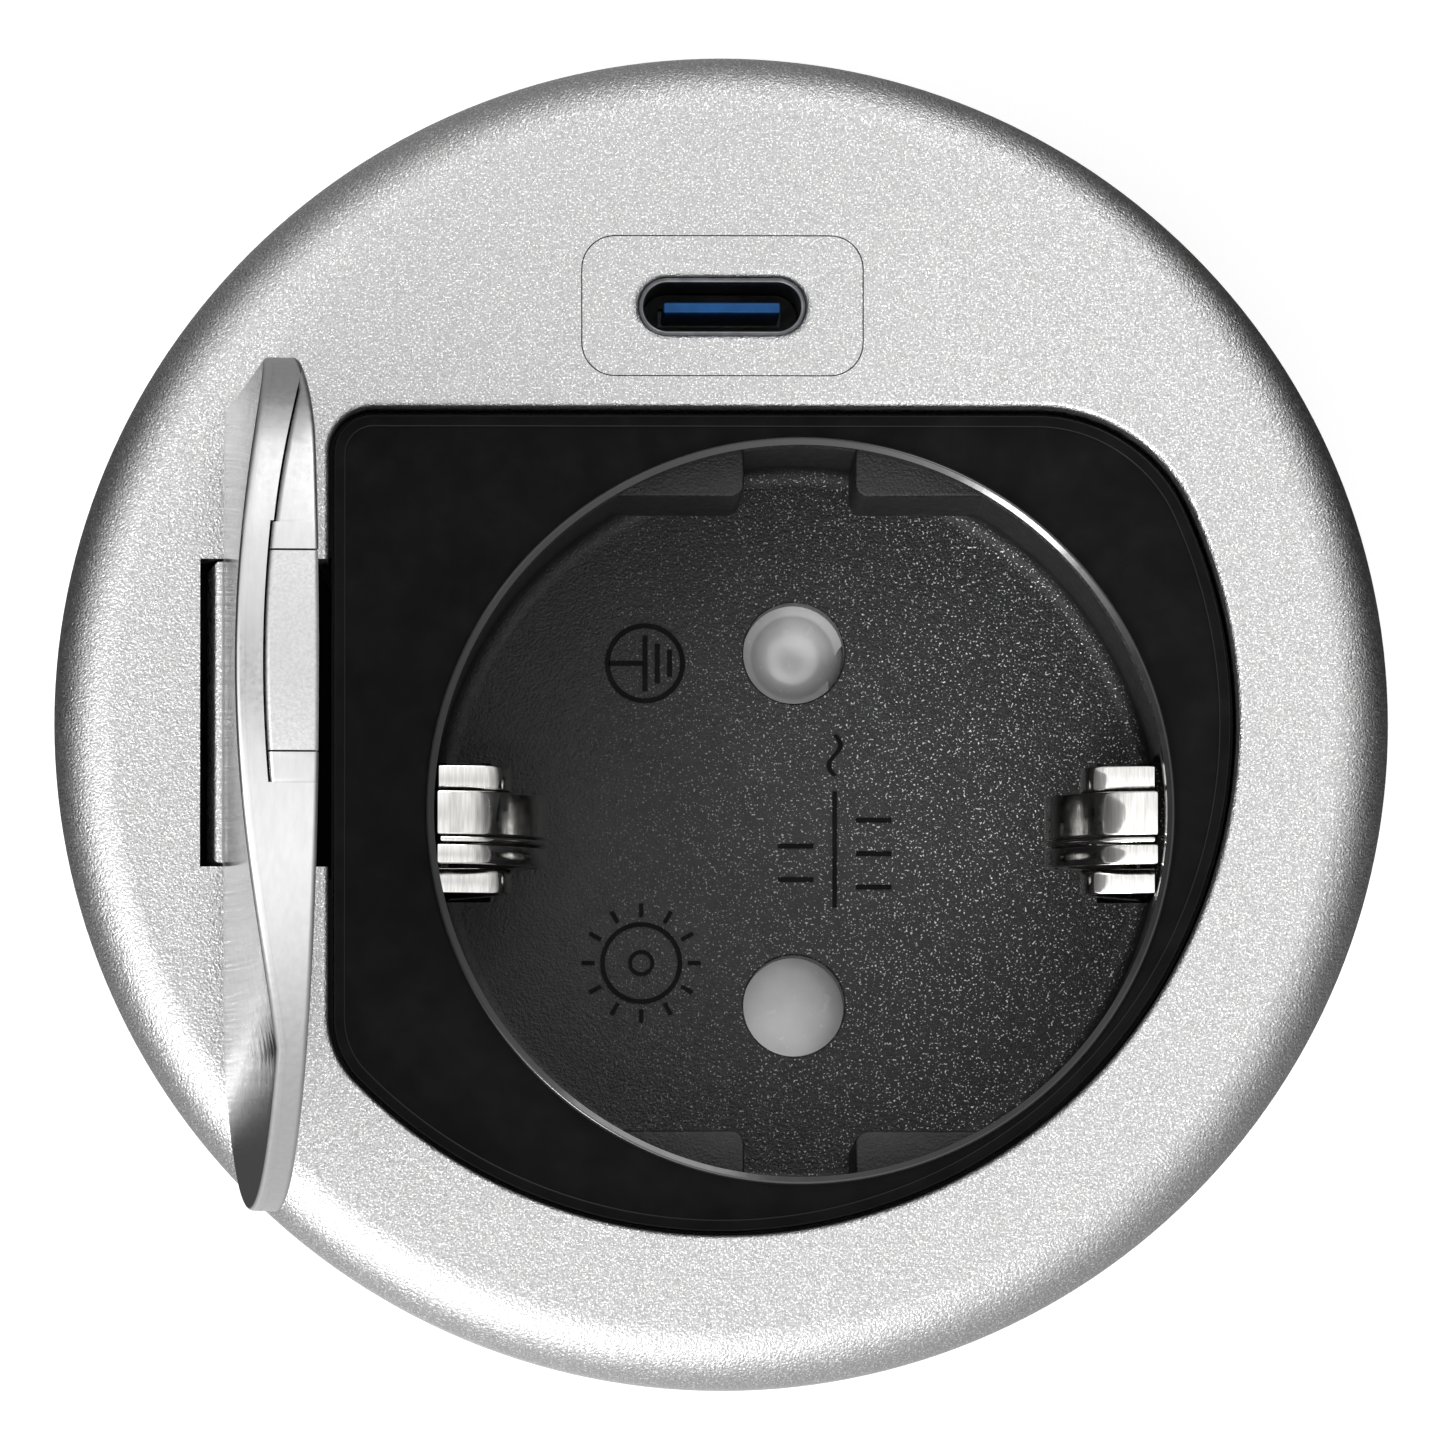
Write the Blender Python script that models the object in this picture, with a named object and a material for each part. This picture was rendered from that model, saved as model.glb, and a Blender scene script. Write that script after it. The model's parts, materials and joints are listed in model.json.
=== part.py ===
"""Desk grommet: a round power outlet for a 60 mm desk hole, with a USB-C port and a hinged lid.

Frame: the origin is the centre of the desk hole on the desk's top surface, +Z points up out of the
desk, and +X runs from the lid's hinge across the socket. Every size below is in millimetres and is
turned into metres when a mesh is made.
"""

import math

import bmesh
import bpy
from mathutils import Vector

MM = 0.001

# Driving dimensions, in millimetres.
FLANGE_R = 35.5
FLANGE_TOP = 4.5
FLANGE_EDGE_R = 3.2
COLLAR_R = 29.4
COLLAR_INNER_R = 27.75
COLLAR_END = -30.0
HOUSING_END = -41.0
COVER_END = -44.0
GAP = 0.3
ROUND_STEPS = 56

# The lid's opening: a straight left edge and a straight top edge, closed by an arc round the origin.
OPENING_LEFT = -20.94
OPENING_TOP = 16.69
OPENING_R = 27.4
CORNER_R = 2.4
TOP_FILLET_R = 9.0
LOW_FILLET_R = 5.0

# The lid's hinge, and the slot that the lid's tab fills.
HINGE_X = -24.4
HINGE_Z = 2.1
SLOT_LEFT = -27.73
SLOT_LOW_Y = -7.83
SLOT_HIGH_Y = 8.55
SLOT_SWEEP_R = 4.15
LID_OPEN_DEG = 86.0
LID_UNDER = 0.8
LID_FLUSH = FLANGE_TOP - HINGE_Z
LID_ARCH = 2.8
LID_ARCH_HALF_WIDTH = 19.5
LID_SKIN = 1.8
LID_LEAN = 0.8
LID_LEAN_REACH = 6.0
LID_INNER_U = 30.0
LID_INNER_HALF_V = 13.0
CATCH_LOW_V = -4.56
CATCH_HIGH_V = 5.73
CATCH_DEPTH = 4.0
KNUCKLE_R = 1.7
PIN_R = 0.75
PIN_PLAY = 0.08

# The socket: an earthed round well with two pin holes on a vertical line.
WELL_X = 4.2
WELL_Y = -4.7
POCKET_FLOOR = 2.4
WELL_R = 19.5
WELL_WALL_R = 20.85
WELL_DEPTH = 17.5
WELL_FLOOR = POCKET_FLOOR - WELL_DEPTH
FLOOR_UNDER = WELL_FLOOR - 3.0
LIP_R = 19.95
LIP_RISE = 0.25
PIN_OFFSET = 9.5
PIN_HOLE_R = 2.72
RIB_Y = 16.9
RIB_CHANNEL = 5.9
RIB_DROP = 2.6
SKIRT_END = -24.2

# The shutter under the well's floor, and its spring.
SHUTTER_R = 13.2
SHUTTER_MIDDLE = -19.6
SHUTTER_HALF = 1.0
SHUTTER_TURN_DEG = 30.0
PIVOT_R = 1.9
PIVOT_END = -21.2
SPRING_INNER_R = 3.0
SPRING_OUTER_R = 3.8

# The earth clips' bend, as distance from the well's centre and height, and the bar under them.
CLIP_BEND = (
    (18.2, -23.0), (18.2, -16.0), (17.4, -13.6), (15.1, -10.6),
    (14.4, -9.2), (14.9, -7.6), (16.9, -5.4), (18.4, -4.6),
)
CLIP_HALF_WIDTH = 2.8
CLIP_HALF_THICKNESS = 0.3
CLIP_SLOT = (16.7, 19.1)
CLIP_SLOT_HALF_WIDTH = 3.2
EARTH_BAR_TOP = -23.3
EARTH_BAR_END = -24.1
EARTH_LUG = (10.0, 15.0)

# The pin sleeves with their terminal blocks, and the block that carries them.
CARRIER_R = 20.8
CARRIER_TOP = -24.5
CARRIER_END = -38.0
SLEEVE_R = 3.4
SLEEVE_BORE_R = 2.5
SLEEVE_TOP = -24.9
SLEEVE_END = -35.0
TERMINAL_TOP = -29.0
TERMINAL_OFFSET = 5.6
SCREW_R = 2.1

# The USB-C port, its plate and its board.
USB_Y = 22.06
PLATE_SIZE = (14.94, 7.44)
PLATE_CORNER_R = 1.75
PLATE_PLAY = 0.2
PORT_SIZE = (9.4, 3.6)
SHELL_SIZE = (8.94, 3.16)
MOUTH_SIZE = (8.34, 2.56)
SHELL_TOP = 3.9
SHELL_END = -7.0
TONGUE_HALF_WIDTH = 3.1
TONGUE_HALF_THICKNESS = 0.3
TONGUE_TOP = 3.0
BOARD_Y = 24.0
BOARD_THICKNESS = 1.2
BOARD_HALF_WIDTH = 10.0
TRANSFORMER_TOP = -14.5
TRANSFORMER_END = -24.5
LEAD_R = 0.7

# The clamp under the desk, drawn on a 16 mm desk top.
DESK_THICKNESS = 16.0
CLAMP_INNER_R = 29.9
CLAMP_OUTER_R = 34.0
WASHER_THICKNESS = 1.5
NUT_R = 32.4
NUT_LUG_R = 33.6
NUT_HEIGHT = 8.0
NUT_LUGS = 8

# The cable gland in the rear cover.
GLAND_X = -15.5
GLAND_Y = 12.5
GLAND_BORE_R = 3.7
GLAND_SLEEVE_R = 4.9
INLET_R = 5.2

# The casing's fastenings, as angles round the grommet's axis.
COVER_SCREW_ANGLES = (30.0, 165.0, 220.0)
COVER_SCREW_RING_R = 24.6
SNAP_ARM_ANGLES = (54.0, 132.0, 192.0)
VENT_COUNT = 5
VENT_PITCH = 4.5


def clear_scene():
    for obj in list(bpy.data.objects):
        bpy.data.objects.remove(obj, do_unlink=True)


# ---------------------------------------------------------------- materials

def finish(name, color, roughness, metallic):
    material = bpy.data.materials.new(name)
    material.use_nodes = True
    shader = material.node_tree.nodes["Principled BSDF"]
    shader.inputs["Base Color"].default_value = (*color, 1.0)
    shader.inputs["Roughness"].default_value = roughness
    shader.inputs["Metallic"].default_value = metallic
    return material


def make_finishes():
    return {
        "silver": finish("silver_paint", (0.62, 0.62, 0.61), 0.42, 0.85),
        "satin": finish("satin_aluminium", (0.72, 0.72, 0.71), 0.22, 1.0),
        "black": finish("black_plastic", (0.012, 0.012, 0.013), 0.4, 0.0),
        "grey": finish("grey_plastic", (0.30, 0.30, 0.31), 0.55, 0.0),
        "pale": finish("pale_shutter", (0.55, 0.55, 0.55), 0.4, 0.0),
        "nickel": finish("nickel_plate", (0.70, 0.69, 0.66), 0.18, 1.0),
        "steel": finish("zinc_steel", (0.55, 0.56, 0.58), 0.3, 1.0),
        "brass": finish("brass", (0.68, 0.50, 0.22), 0.3, 1.0),
        "blue": finish("blue_tongue", (0.012, 0.11, 0.38), 0.35, 0.0),
        "board": finish("green_board", (0.02, 0.16, 0.07), 0.45, 0.0),
        "rubber": finish("black_rubber", (0.02, 0.02, 0.02), 0.8, 0.0),
        "brown_lead": finish("brown_lead", (0.14, 0.05, 0.02), 0.5, 0.0),
        "blue_lead": finish("blue_lead", (0.02, 0.06, 0.30), 0.5, 0.0),
    }


# ---------------------------------------------------------------- shape helpers

def new_object(name, bm, material=None, origin=(0.0, 0.0, 0.0)):
    """Makes a mesh object from a bmesh drawn in millimetres about origin."""
    bmesh.ops.recalc_face_normals(bm, faces=bm.faces)
    bmesh.ops.scale(bm, vec=(MM, MM, MM), verts=bm.verts)
    mesh = bpy.data.meshes.new(name)
    bm.to_mesh(mesh)
    bm.free()
    mesh.shade_smooth()
    mesh.set_sharp_from_angle(angle=math.radians(35.0))
    obj = bpy.data.objects.new(name, mesh)
    obj.location = Vector(origin) * MM
    bpy.context.collection.objects.link(obj)
    if material:
        mesh.materials.append(material)
    return obj


def arc(cx, cy, radius, start_deg, end_deg, steps):
    """Points along an arc, both ends included."""
    points = []
    for i in range(steps + 1):
        angle = math.radians(start_deg + (end_deg - start_deg) * i / steps)
        points.append((cx + radius * math.cos(angle), cy + radius * math.sin(angle)))
    return points


def circle(cx, cy, radius, steps):
    return arc(cx, cy, radius, 0.0, 360.0 * (steps - 1) / steps, steps - 1)


def rounded_rect(cx, cy, width, height, radius, steps=4):
    """Outline of a rectangle with rounded corners, anticlockwise."""
    x = width / 2 - radius
    y = height / 2 - radius
    points = []
    for sx, sy, start in ((1, 1, 0.0), (-1, 1, 90.0), (-1, -1, 180.0), (1, -1, 270.0)):
        points += arc(cx + sx * x, cy + sy * y, radius, start, start + 90.0, steps)
    return points


def box_outline(x0, x1, y0, y1):
    return [(x0, y0), (x1, y0), (x1, y1), (x0, y1)]


def opening_outline(inset, arc_steps=22):
    """The lid opening's outline, moved inwards by inset, anticlockwise from the arc's right side."""
    left = OPENING_LEFT + inset
    top = OPENING_TOP - inset
    radius = OPENING_R - inset
    corner = CORNER_R - inset
    high = TOP_FILLET_R - inset
    low = LOW_FILLET_R - inset
    high_y = top - high
    high_x = math.sqrt((radius - high) ** 2 - high_y**2)
    low_x = left + low
    low_y = -math.sqrt((radius - low) ** 2 - low_x**2)
    high_angle = math.degrees(math.atan2(high_y, high_x))
    low_angle = math.degrees(math.atan2(low_y, low_x))
    points = arc(0.0, 0.0, radius, low_angle, high_angle, arc_steps)
    points += arc(high_x, high_y, high, high_angle, 90.0, 6)[1:]
    points += arc(left + corner, top - corner, corner, 90.0, 180.0, 4)
    points += arc(low_x, low_y, low, 180.0, 360.0 + low_angle, 4)[:-1]
    return points


def prism(name, outline, low, high, material=None, origin=(0.0, 0.0, 0.0), low_outline=None):
    """A solid between two heights. low_outline, with as many points, gives slanted sides."""
    bm = bmesh.new()
    bottom = [bm.verts.new((x, y, low)) for x, y in (low_outline or outline)]
    top = [bm.verts.new((x, y, high)) for x, y in outline]
    count = len(outline)
    bm.faces.new(bottom)
    bm.faces.new(top)
    for i in range(count):
        j = (i + 1) % count
        bm.faces.new((bottom[i], bottom[j], top[j], top[i]))
    return new_object(name, bm, material, origin)


def lathe(name, profile, material=None, origin=(0.0, 0.0, 0.0), steps=ROUND_STEPS):
    """A closed (radius, height) profile turned about Z. Points at radius 0 become one pole."""
    bm = bmesh.new()
    rings = []
    for radius, height in profile:
        if radius == 0.0:
            rings.append([bm.verts.new((0.0, 0.0, height))])
            continue
        rings.append([bm.verts.new((x, y, height)) for x, y in circle(0.0, 0.0, radius, steps)])
    for i, ring in enumerate(rings):
        other = rings[(i + 1) % len(rings)]
        if len(ring) == 1 and len(other) == 1:
            continue
        for k in range(steps):
            m = (k + 1) % steps
            corners = [ring[k % len(ring)], ring[m % len(ring)]]
            corners += [other[m % len(other)], other[k % len(other)]]
            bm.faces.new(list(dict.fromkeys(corners)))
    return new_object(name, bm, material, origin)


def bar_along_y(name, outline, y0, y1, material=None, origin=(0.0, 0.0, 0.0)):
    """An (x, z) outline run from y0 to y1."""
    bm = bmesh.new()
    near = [bm.verts.new((x, y0, z)) for x, z in outline]
    far = [bm.verts.new((x, y1, z)) for x, z in outline]
    count = len(outline)
    bm.faces.new(near)
    bm.faces.new(far)
    for i in range(count):
        j = (i + 1) % count
        bm.faces.new((near[i], near[j], far[j], far[i]))
    return new_object(name, bm, material, origin)


def combine(obj, other, operation):
    """Cuts, joins or intersects obj with a helper, which is then left out of the model."""
    modifier = obj.modifiers.new(operation.lower() + "_" + other.name, "BOOLEAN")
    modifier.operation = operation
    modifier.solver = "EXACT"
    modifier.object = other
    other.hide_render = True
    other.display_type = "WIRE"


def cut(obj, other):
    combine(obj, other, "DIFFERENCE")


def join(obj, other):
    combine(obj, other, "UNION")


def offset_path(path, half):
    """The outline of a strip of metal that follows path, half to each side of it."""
    left = []
    right = []
    for i, point in enumerate(path):
        before = Vector(path[max(i - 1, 0)])
        after = Vector(path[min(i + 1, len(path) - 1)])
        run = (after - before).normalized()
        normal = Vector((-run.y, run.x)) * half
        left.append(tuple(Vector(point) + normal))
        right.append(tuple(Vector(point) - normal))
    return left + right[::-1]


def tube(name, points, radius, material):
    """A thin lead on a smooth curve through points, as a curve object with filled caps."""
    data = bpy.data.curves.new(name, "CURVE")
    data.dimensions = "3D"
    data.bevel_depth = radius * MM
    data.bevel_resolution = 2
    data.use_fill_caps = True
    path = smooth_path([Vector(p) for p in points], 3)
    spline = data.splines.new("POLY")
    spline.points.add(len(path) - 1)
    for slot, point in zip(spline.points, path):
        slot.co = (*(point * MM), 1.0)
    data.materials.append(material)
    obj = bpy.data.objects.new(name, data)
    bpy.context.collection.objects.link(obj)
    return obj


def smooth_path(points, steps):
    """Catmull-Rom points through the given ones."""
    padded = [points[0]] + points + [points[-1]]
    path = []
    for i in range(1, len(padded) - 2):
        a, b, c, d = padded[i - 1 : i + 3]
        for k in range(steps):
            t = k / steps
            bend = (2 * a - 5 * b + 4 * c - d) * t**2
            twist = (3 * b - a - 3 * c + d) * t**3
            path.append(0.5 * (2 * b + (c - a) * t + bend + twist))
    path.append(points[-1])
    return path


# ---------------------------------------------------------------- flange and lid

def make_bezel(finishes):
    """The flange with its threaded collar, in one casting."""
    edge = arc(FLANGE_R - FLANGE_EDGE_R, FLANGE_TOP - FLANGE_EDGE_R, FLANGE_EDGE_R, 90.0, 0.0, 5)
    groove = [(34.0, 0.0), (34.0, 0.9), (31.2, 0.9), (31.2, 0.0)]
    collar = [(COLLAR_R, 0.0), (COLLAR_R, COLLAR_END), (COLLAR_INNER_R, COLLAR_END), (COLLAR_INNER_R, 0.0)]
    profile = [(0.0, FLANGE_TOP)] + edge + [(FLANGE_R, 0.0)] + groove + collar + [(0.0, 0.0)]
    bezel = lathe("bezel", profile, finishes["silver"])
    cut(bezel, prism("opening_cutter", opening_outline(0.0), -1.0, FLANGE_TOP + 1.0))
    slot = box_outline(SLOT_LEFT, OPENING_LEFT + 2.0, SLOT_LOW_Y, SLOT_HIGH_Y)
    cut(bezel, prism("slot_cutter", slot, -1.0, FLANGE_TOP + 1.0))
    sweep = circle(HINGE_X, HINGE_Z, SLOT_SWEEP_R, 40)
    cut(bezel, bar_along_y("slot_sweep_cutter", sweep, SLOT_LOW_Y, SLOT_HIGH_Y))
    bore = circle(HINGE_X, HINGE_Z, PIN_R + PIN_PLAY, 16)
    cut(bezel, bar_along_y("pin_bore_cutter", bore, SLOT_LOW_Y - 3.6, SLOT_HIGH_Y + 3.6))
    width, height = PLATE_SIZE
    plate_corner = PLATE_CORNER_R + PLATE_PLAY / 2
    plate = rounded_rect(0.0, USB_Y, width + PLATE_PLAY, height + PLATE_PLAY, plate_corner)
    cut(bezel, prism("usb_plate_cutter", plate, -1.0, FLANGE_TOP + 1.0))


def lid_arch(u, v):
    """How far the lid's outer face rises above the flange at u from the hinge axis and v along it."""
    start = OPENING_LEFT - HINGE_X
    share = (u - start) / (OPENING_R - HINGE_X - start)
    across = 1.0 - (v / LID_ARCH_HALF_WIDTH) ** 2
    if share <= 0.0 or across <= 0.0:
        return 0.0
    return LID_ARCH * share**1.3 * across


def arched_block(name, low, drop, material=None):
    """A block under the lid's outer face, drop below it, with a flat underside at low."""
    u0, u1, u_steps = -6.0, 54.0, 20
    v0, v1, v_steps = -28.0, 28.0, 28
    bm = bmesh.new()
    upper = []
    lower = []
    for i in range(u_steps + 1):
        u = u0 + (u1 - u0) * i / u_steps
        v_line = [v0 + (v1 - v0) * j / v_steps for j in range(v_steps + 1)]
        upper.append([bm.verts.new((u, v, LID_FLUSH + lid_arch(u, v) - drop)) for v in v_line])
        if i in (0, u_steps):
            lower.append([bm.verts.new((u, v, low)) for v in v_line])
        else:
            lower.append([bm.verts.new((u, v, low)) for v in (v0, v1)])
    for i in range(u_steps):
        for j in range(v_steps):
            bm.faces.new((upper[i][j], upper[i + 1][j], upper[i + 1][j + 1], upper[i][j + 1]))
    for line, under in ((upper[0], lower[0]), (upper[-1], lower[-1])):
        for j in range(v_steps):
            bm.faces.new((line[j], line[j + 1], under[j + 1], under[j]))
    for end in (0, -1):
        for i in range(u_steps):
            bm.faces.new((upper[i][end], upper[i + 1][end], lower[i + 1][end], lower[i][end]))
    ring = lower[0] + [lower[i][-1] for i in range(1, u_steps)]
    ring += lower[-1][::-1] + [lower[i][0] for i in range(u_steps - 1, 0, -1)]
    bm.faces.new(ring)
    return new_object(name, bm, material)


def lid_outline(inset):
    """The opening's outline in the lid's own frame, measured from the hinge axis."""
    return [(x - HINGE_X, y) for x, y in opening_outline(inset)]


def leaned(outline, edge_u):
    """The outline drawn back from the hinge, most at edge_u, which clears the flange as the lid swings."""
    return [(u + LID_LEAN * max(0.0, 1.0 - (u - edge_u) / LID_LEAN_REACH), v) for u, v in outline]


def make_lid(finishes):
    """The lid, modelled shut about its hinge axis and then swung open with its empty."""
    axis = bpy.data.objects.new("lid_hinge_axis", None)
    axis.location = (HINGE_X * MM, 0.0, HINGE_Z * MM)
    axis.rotation_euler = (0.0, -math.radians(LID_OPEN_DEG), 0.0)
    bpy.context.collection.objects.link(axis)

    outline = lid_outline(GAP)
    edge_u = OPENING_LEFT - HINGE_X + GAP
    cover = arched_block("lid_cover", LID_UNDER - 2.0, 0.0, finishes["satin"])
    shape_top = LID_FLUSH + LID_ARCH + 1.0
    shape = prism("lid_shape", outline, LID_UNDER, shape_top, low_outline=leaned(outline, edge_u))
    combine(cover, shape, "INTERSECT")
    tab_y0, tab_y1 = SLOT_LOW_Y + 0.25, SLOT_HIGH_Y - 0.25
    tab_u0 = SLOT_LEFT - HINGE_X + 0.18
    tab = prism("lid_tab", box_outline(tab_u0, edge_u + 2.0, tab_y0, tab_y1), LID_UNDER, LID_FLUSH)
    join(cover, tab)
    join(cover, bar_along_y("lid_knuckle", circle(0.0, 0.0, KNUCKLE_R, 20), tab_y0, tab_y1))
    bore = circle(0.0, 0.0, PIN_R + PIN_PLAY, 16)
    cut(cover, bar_along_y("lid_bore", bore, tab_y0 - 1.0, tab_y1 + 1.0))
    hollow = arched_block("lid_hollow", LID_UNDER - 1.0, LID_SKIN)
    hollow_v = LID_INNER_HALF_V + GAP
    hollow_plan = box_outline(LID_INNER_U - GAP, 60.0, -hollow_v, hollow_v)
    combine(hollow, prism("hollow_plan", hollow_plan, -1.0, 9.0), "INTERSECT")
    cut(cover, hollow)

    inner = arched_block("lid_inner", LID_UNDER - 2.0, LID_SKIN + GAP, finishes["satin"])
    plan = box_outline(LID_INNER_U, 60.0, -LID_INNER_HALF_V, LID_INNER_HALF_V)
    combine(inner, prism("inner_plan", plan, LID_UNDER, 9.0), "INTERSECT")
    combine(inner, prism("inner_rim", outline, LID_UNDER - 1.0, 9.0), "INTERSECT")
    rim_u = OPENING_R - GAP - HINGE_X
    catch_u = rim_u - CATCH_DEPTH
    room = box_outline(catch_u - GAP, rim_u + 3.0, CATCH_LOW_V - GAP, CATCH_HIGH_V + GAP)
    cut(inner, prism("catch_room", room, -1.0, 9.0))

    catch = arched_block("lid_catch", LID_UNDER - 2.0, LID_SKIN + GAP, finishes["grey"])
    catch_plan = box_outline(catch_u, rim_u + 3.0, CATCH_LOW_V, CATCH_HIGH_V)
    combine(catch, prism("catch_plan", catch_plan, LID_UNDER, 9.0), "INTERSECT")
    combine(catch, prism("catch_rim", outline, LID_UNDER - 1.0, 9.0), "INTERSECT")

    helpers = ("lid_shape", "lid_tab", "lid_knuckle", "lid_bore", "lid_hollow", "hollow_plan",
               "inner_plan", "inner_rim", "catch_room", "catch_plan", "catch_rim")
    for obj in (cover, inner, catch, *(bpy.data.objects[name] for name in helpers)):
        obj.parent = axis


def make_hinge_pin(finishes):
    outline = circle(HINGE_X, HINGE_Z, PIN_R, 16)
    bar_along_y("hinge_pin", outline, SLOT_LOW_Y - 3.3, SLOT_HIGH_Y + 3.3, finishes["steel"])


# ---------------------------------------------------------------- socket

def make_socket_insert(finishes):
    """The black insert: the plate under the lid and the well for the plug, moulded in one."""
    insert = prism("socket_insert", opening_outline(GAP), -1.0, POCKET_FLOOR, finishes["black"])
    base = prism("insert_base", circle(0.0, 0.0, 27.3, ROUND_STEPS), -3.3, -GAP)
    cut(base, prism("base_usb_room", box_outline(-10.6, 10.6, 17.2, 30.0), -5.0, 1.0))
    hinge_room = box_outline(-30.0, OPENING_LEFT + 0.2, SLOT_LOW_Y - 0.4, SLOT_HIGH_Y + 0.4)
    cut(base, prism("base_hinge_room", hinge_room, -5.0, 1.0))
    join(insert, base)
    wall = lathe(
        "well_wall", [(0.0, 1.5), (WELL_WALL_R, 1.5), (WELL_WALL_R, SKIRT_END), (0.0, SKIRT_END)],
        origin=(WELL_X, WELL_Y, 0.0),
    )
    join(insert, wall)
    lip_top = POCKET_FLOOR + LIP_RISE
    lip = lathe(
        "well_lip", [(0.0, lip_top), (LIP_R, lip_top), (LIP_R, 1.0), (0.0, 1.0)],
        origin=(WELL_X, WELL_Y, 0.0),
    )
    join(insert, lip)
    hollow = lathe(
        "well_hollow", [(0.0, 4.0), (WELL_R, 4.0), (WELL_R, WELL_FLOOR), (0.0, WELL_FLOOR)],
        origin=(WELL_X, WELL_Y, 0.0),
    )
    add_ribs(hollow)
    cut(insert, hollow)
    chamber = lathe(
        "shutter_chamber", [(0.0, FLOOR_UNDER), (19.7, FLOOR_UNDER), (19.7, -30.0), (0.0, -30.0)],
        origin=(WELL_X, WELL_Y, 0.0),
    )
    cut(chamber, prism("pivot_boss", circle(WELL_X, WELL_Y, PIVOT_R, 16), PIVOT_END, FLOOR_UNDER + 0.5))
    cut(insert, chamber)
    for side in (-1, 1):
        hole = circle(WELL_X, WELL_Y + side * PIN_OFFSET, PIN_HOLE_R, 24)
        cut(insert, prism(f"pin_hole_{side}", hole, FLOOR_UNDER - 1.0, WELL_FLOOR + 1.0))
        x_in, x_out = sorted(WELL_X + side * x for x in CLIP_SLOT)
        slot = box_outline(x_in, x_out, WELL_Y - CLIP_SLOT_HALF_WIDTH, WELL_Y + CLIP_SLOT_HALF_WIDTH)
        cut(insert, prism(f"clip_slot_{side}", slot, FLOOR_UNDER - 1.0, WELL_FLOOR + 1.0))


def add_ribs(hollow):
    """Leaves the four key blocks standing in the well, from just under its mouth to its floor."""
    half = RIB_CHANNEL / 2
    top = POCKET_FLOOR - RIB_DROP
    for side_x in (-1, 1):
        x0, x1 = sorted((WELL_X + side_x * half, WELL_X + side_x * 25.0))
        for side_y in (-1, 1):
            y0, y1 = sorted((WELL_Y + side_y * RIB_Y, WELL_Y + side_y * 25.0))
            name = f"rib_{'left' if side_x < 0 else 'right'}_{'low' if side_y < 0 else 'high'}"
            cut(hollow, prism(name, box_outline(x0, x1, y0, y1), WELL_FLOOR - 1.0, top))


def make_shutter(finishes):
    """The child-protection plate under the pin holes, turning about the well's centre."""
    pivot = (WELL_X, WELL_Y, SHUTTER_MIDDLE)
    disc = circle(0.0, 0.0, SHUTTER_R, 40)
    shutter = prism("pin_shutter", disc, -SHUTTER_HALF, SHUTTER_HALF, finishes["pale"], origin=pivot)
    cut(shutter, prism("shutter_bore", circle(0.0, 0.0, PIVOT_R + GAP, 16), -2.0, 2.0, origin=pivot))
    turn = math.radians(90.0 - SHUTTER_TURN_DEG)
    for side in (-1, 1):
        x = side * PIN_OFFSET * math.cos(turn)
        y = side * PIN_OFFSET * math.sin(turn)
        hole = circle(x, y, PIN_HOLE_R + 0.1, 20)
        cut(shutter, prism(f"shutter_hole_{side}", hole, -2.0, 2.0, origin=pivot))


def make_shutter_spring(finishes):
    """One flat coil of the return spring round the shutter's pivot, with its two legs."""
    top, end = -21.5, -22.2
    coil = lathe(
        "shutter_spring",
        [(SPRING_OUTER_R, top), (SPRING_OUTER_R, end), (SPRING_INNER_R, end), (SPRING_INNER_R, top)],
        finishes["steel"], origin=(WELL_X, WELL_Y, 0.0), steps=24,
    )
    right_leg = box_outline(WELL_X - 0.2, WELL_X + 9.5, WELL_Y + 3.05, WELL_Y + 3.75)
    left_leg = box_outline(WELL_X - 9.5, WELL_X + 0.2, WELL_Y - 3.75, WELL_Y - 3.05)
    for name, leg in (("spring_leg_right", right_leg), ("spring_leg_left", left_leg)):
        join(coil, prism(name, leg, end + 0.1, top - 0.1))


def make_earth(finishes):
    """Two sprung clips that reach into the well, and the bar that joins them under the shutter."""
    low_y, high_y = WELL_Y - CLIP_HALF_WIDTH, WELL_Y + CLIP_HALF_WIDTH
    for side, name in ((-1, "earth_clip_left"), (1, "earth_clip_right")):
        outline = offset_path([(WELL_X + side * x, z) for x, z in CLIP_BEND], CLIP_HALF_THICKNESS)
        bar_along_y(name, outline, low_y, high_y, finishes["nickel"])
    plan = box_outline(WELL_X - 18.9, WELL_X + 18.9, low_y, high_y)
    bar = prism("earth_bar", plan, EARTH_BAR_END, EARTH_BAR_TOP, finishes["nickel"])
    lug_x0, lug_x1 = (WELL_X + x for x in EARTH_LUG)
    lug = box_outline(lug_x0, lug_x1, WELL_Y - 2.5, WELL_Y + 2.5)
    join(bar, prism("earth_lug", lug, -30.0, EARTH_BAR_TOP - 0.3))


def make_contacts(finishes):
    """Brass sleeves that take the plug's pins, each with a terminal block."""
    for side, name in ((1, "contact_live"), (-1, "contact_neutral")):
        y = WELL_Y + side * PIN_OFFSET
        contact = prism(name, circle(WELL_X, y, SLEEVE_R, 24), SLEEVE_END, SLEEVE_TOP, finishes["brass"])
        y0, y1 = sorted((y + side * 2.8, y + side * 8.4))
        block = box_outline(WELL_X - 3.0, WELL_X + 3.0, y0, y1)
        join(contact, prism(name + "_block", block, SLEEVE_END, TERMINAL_TOP))
        cut(contact, prism(name + "_bore", circle(WELL_X, y, SLEEVE_BORE_R, 20), -36.0, -24.0))
        slit_y0, slit_y1 = sorted((y, y - side * 5.0))
        slit = box_outline(WELL_X - 0.4, WELL_X + 0.4, slit_y0, slit_y1)
        cut(contact, prism(name + "_slit", slit, -36.0, -24.0))


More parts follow.
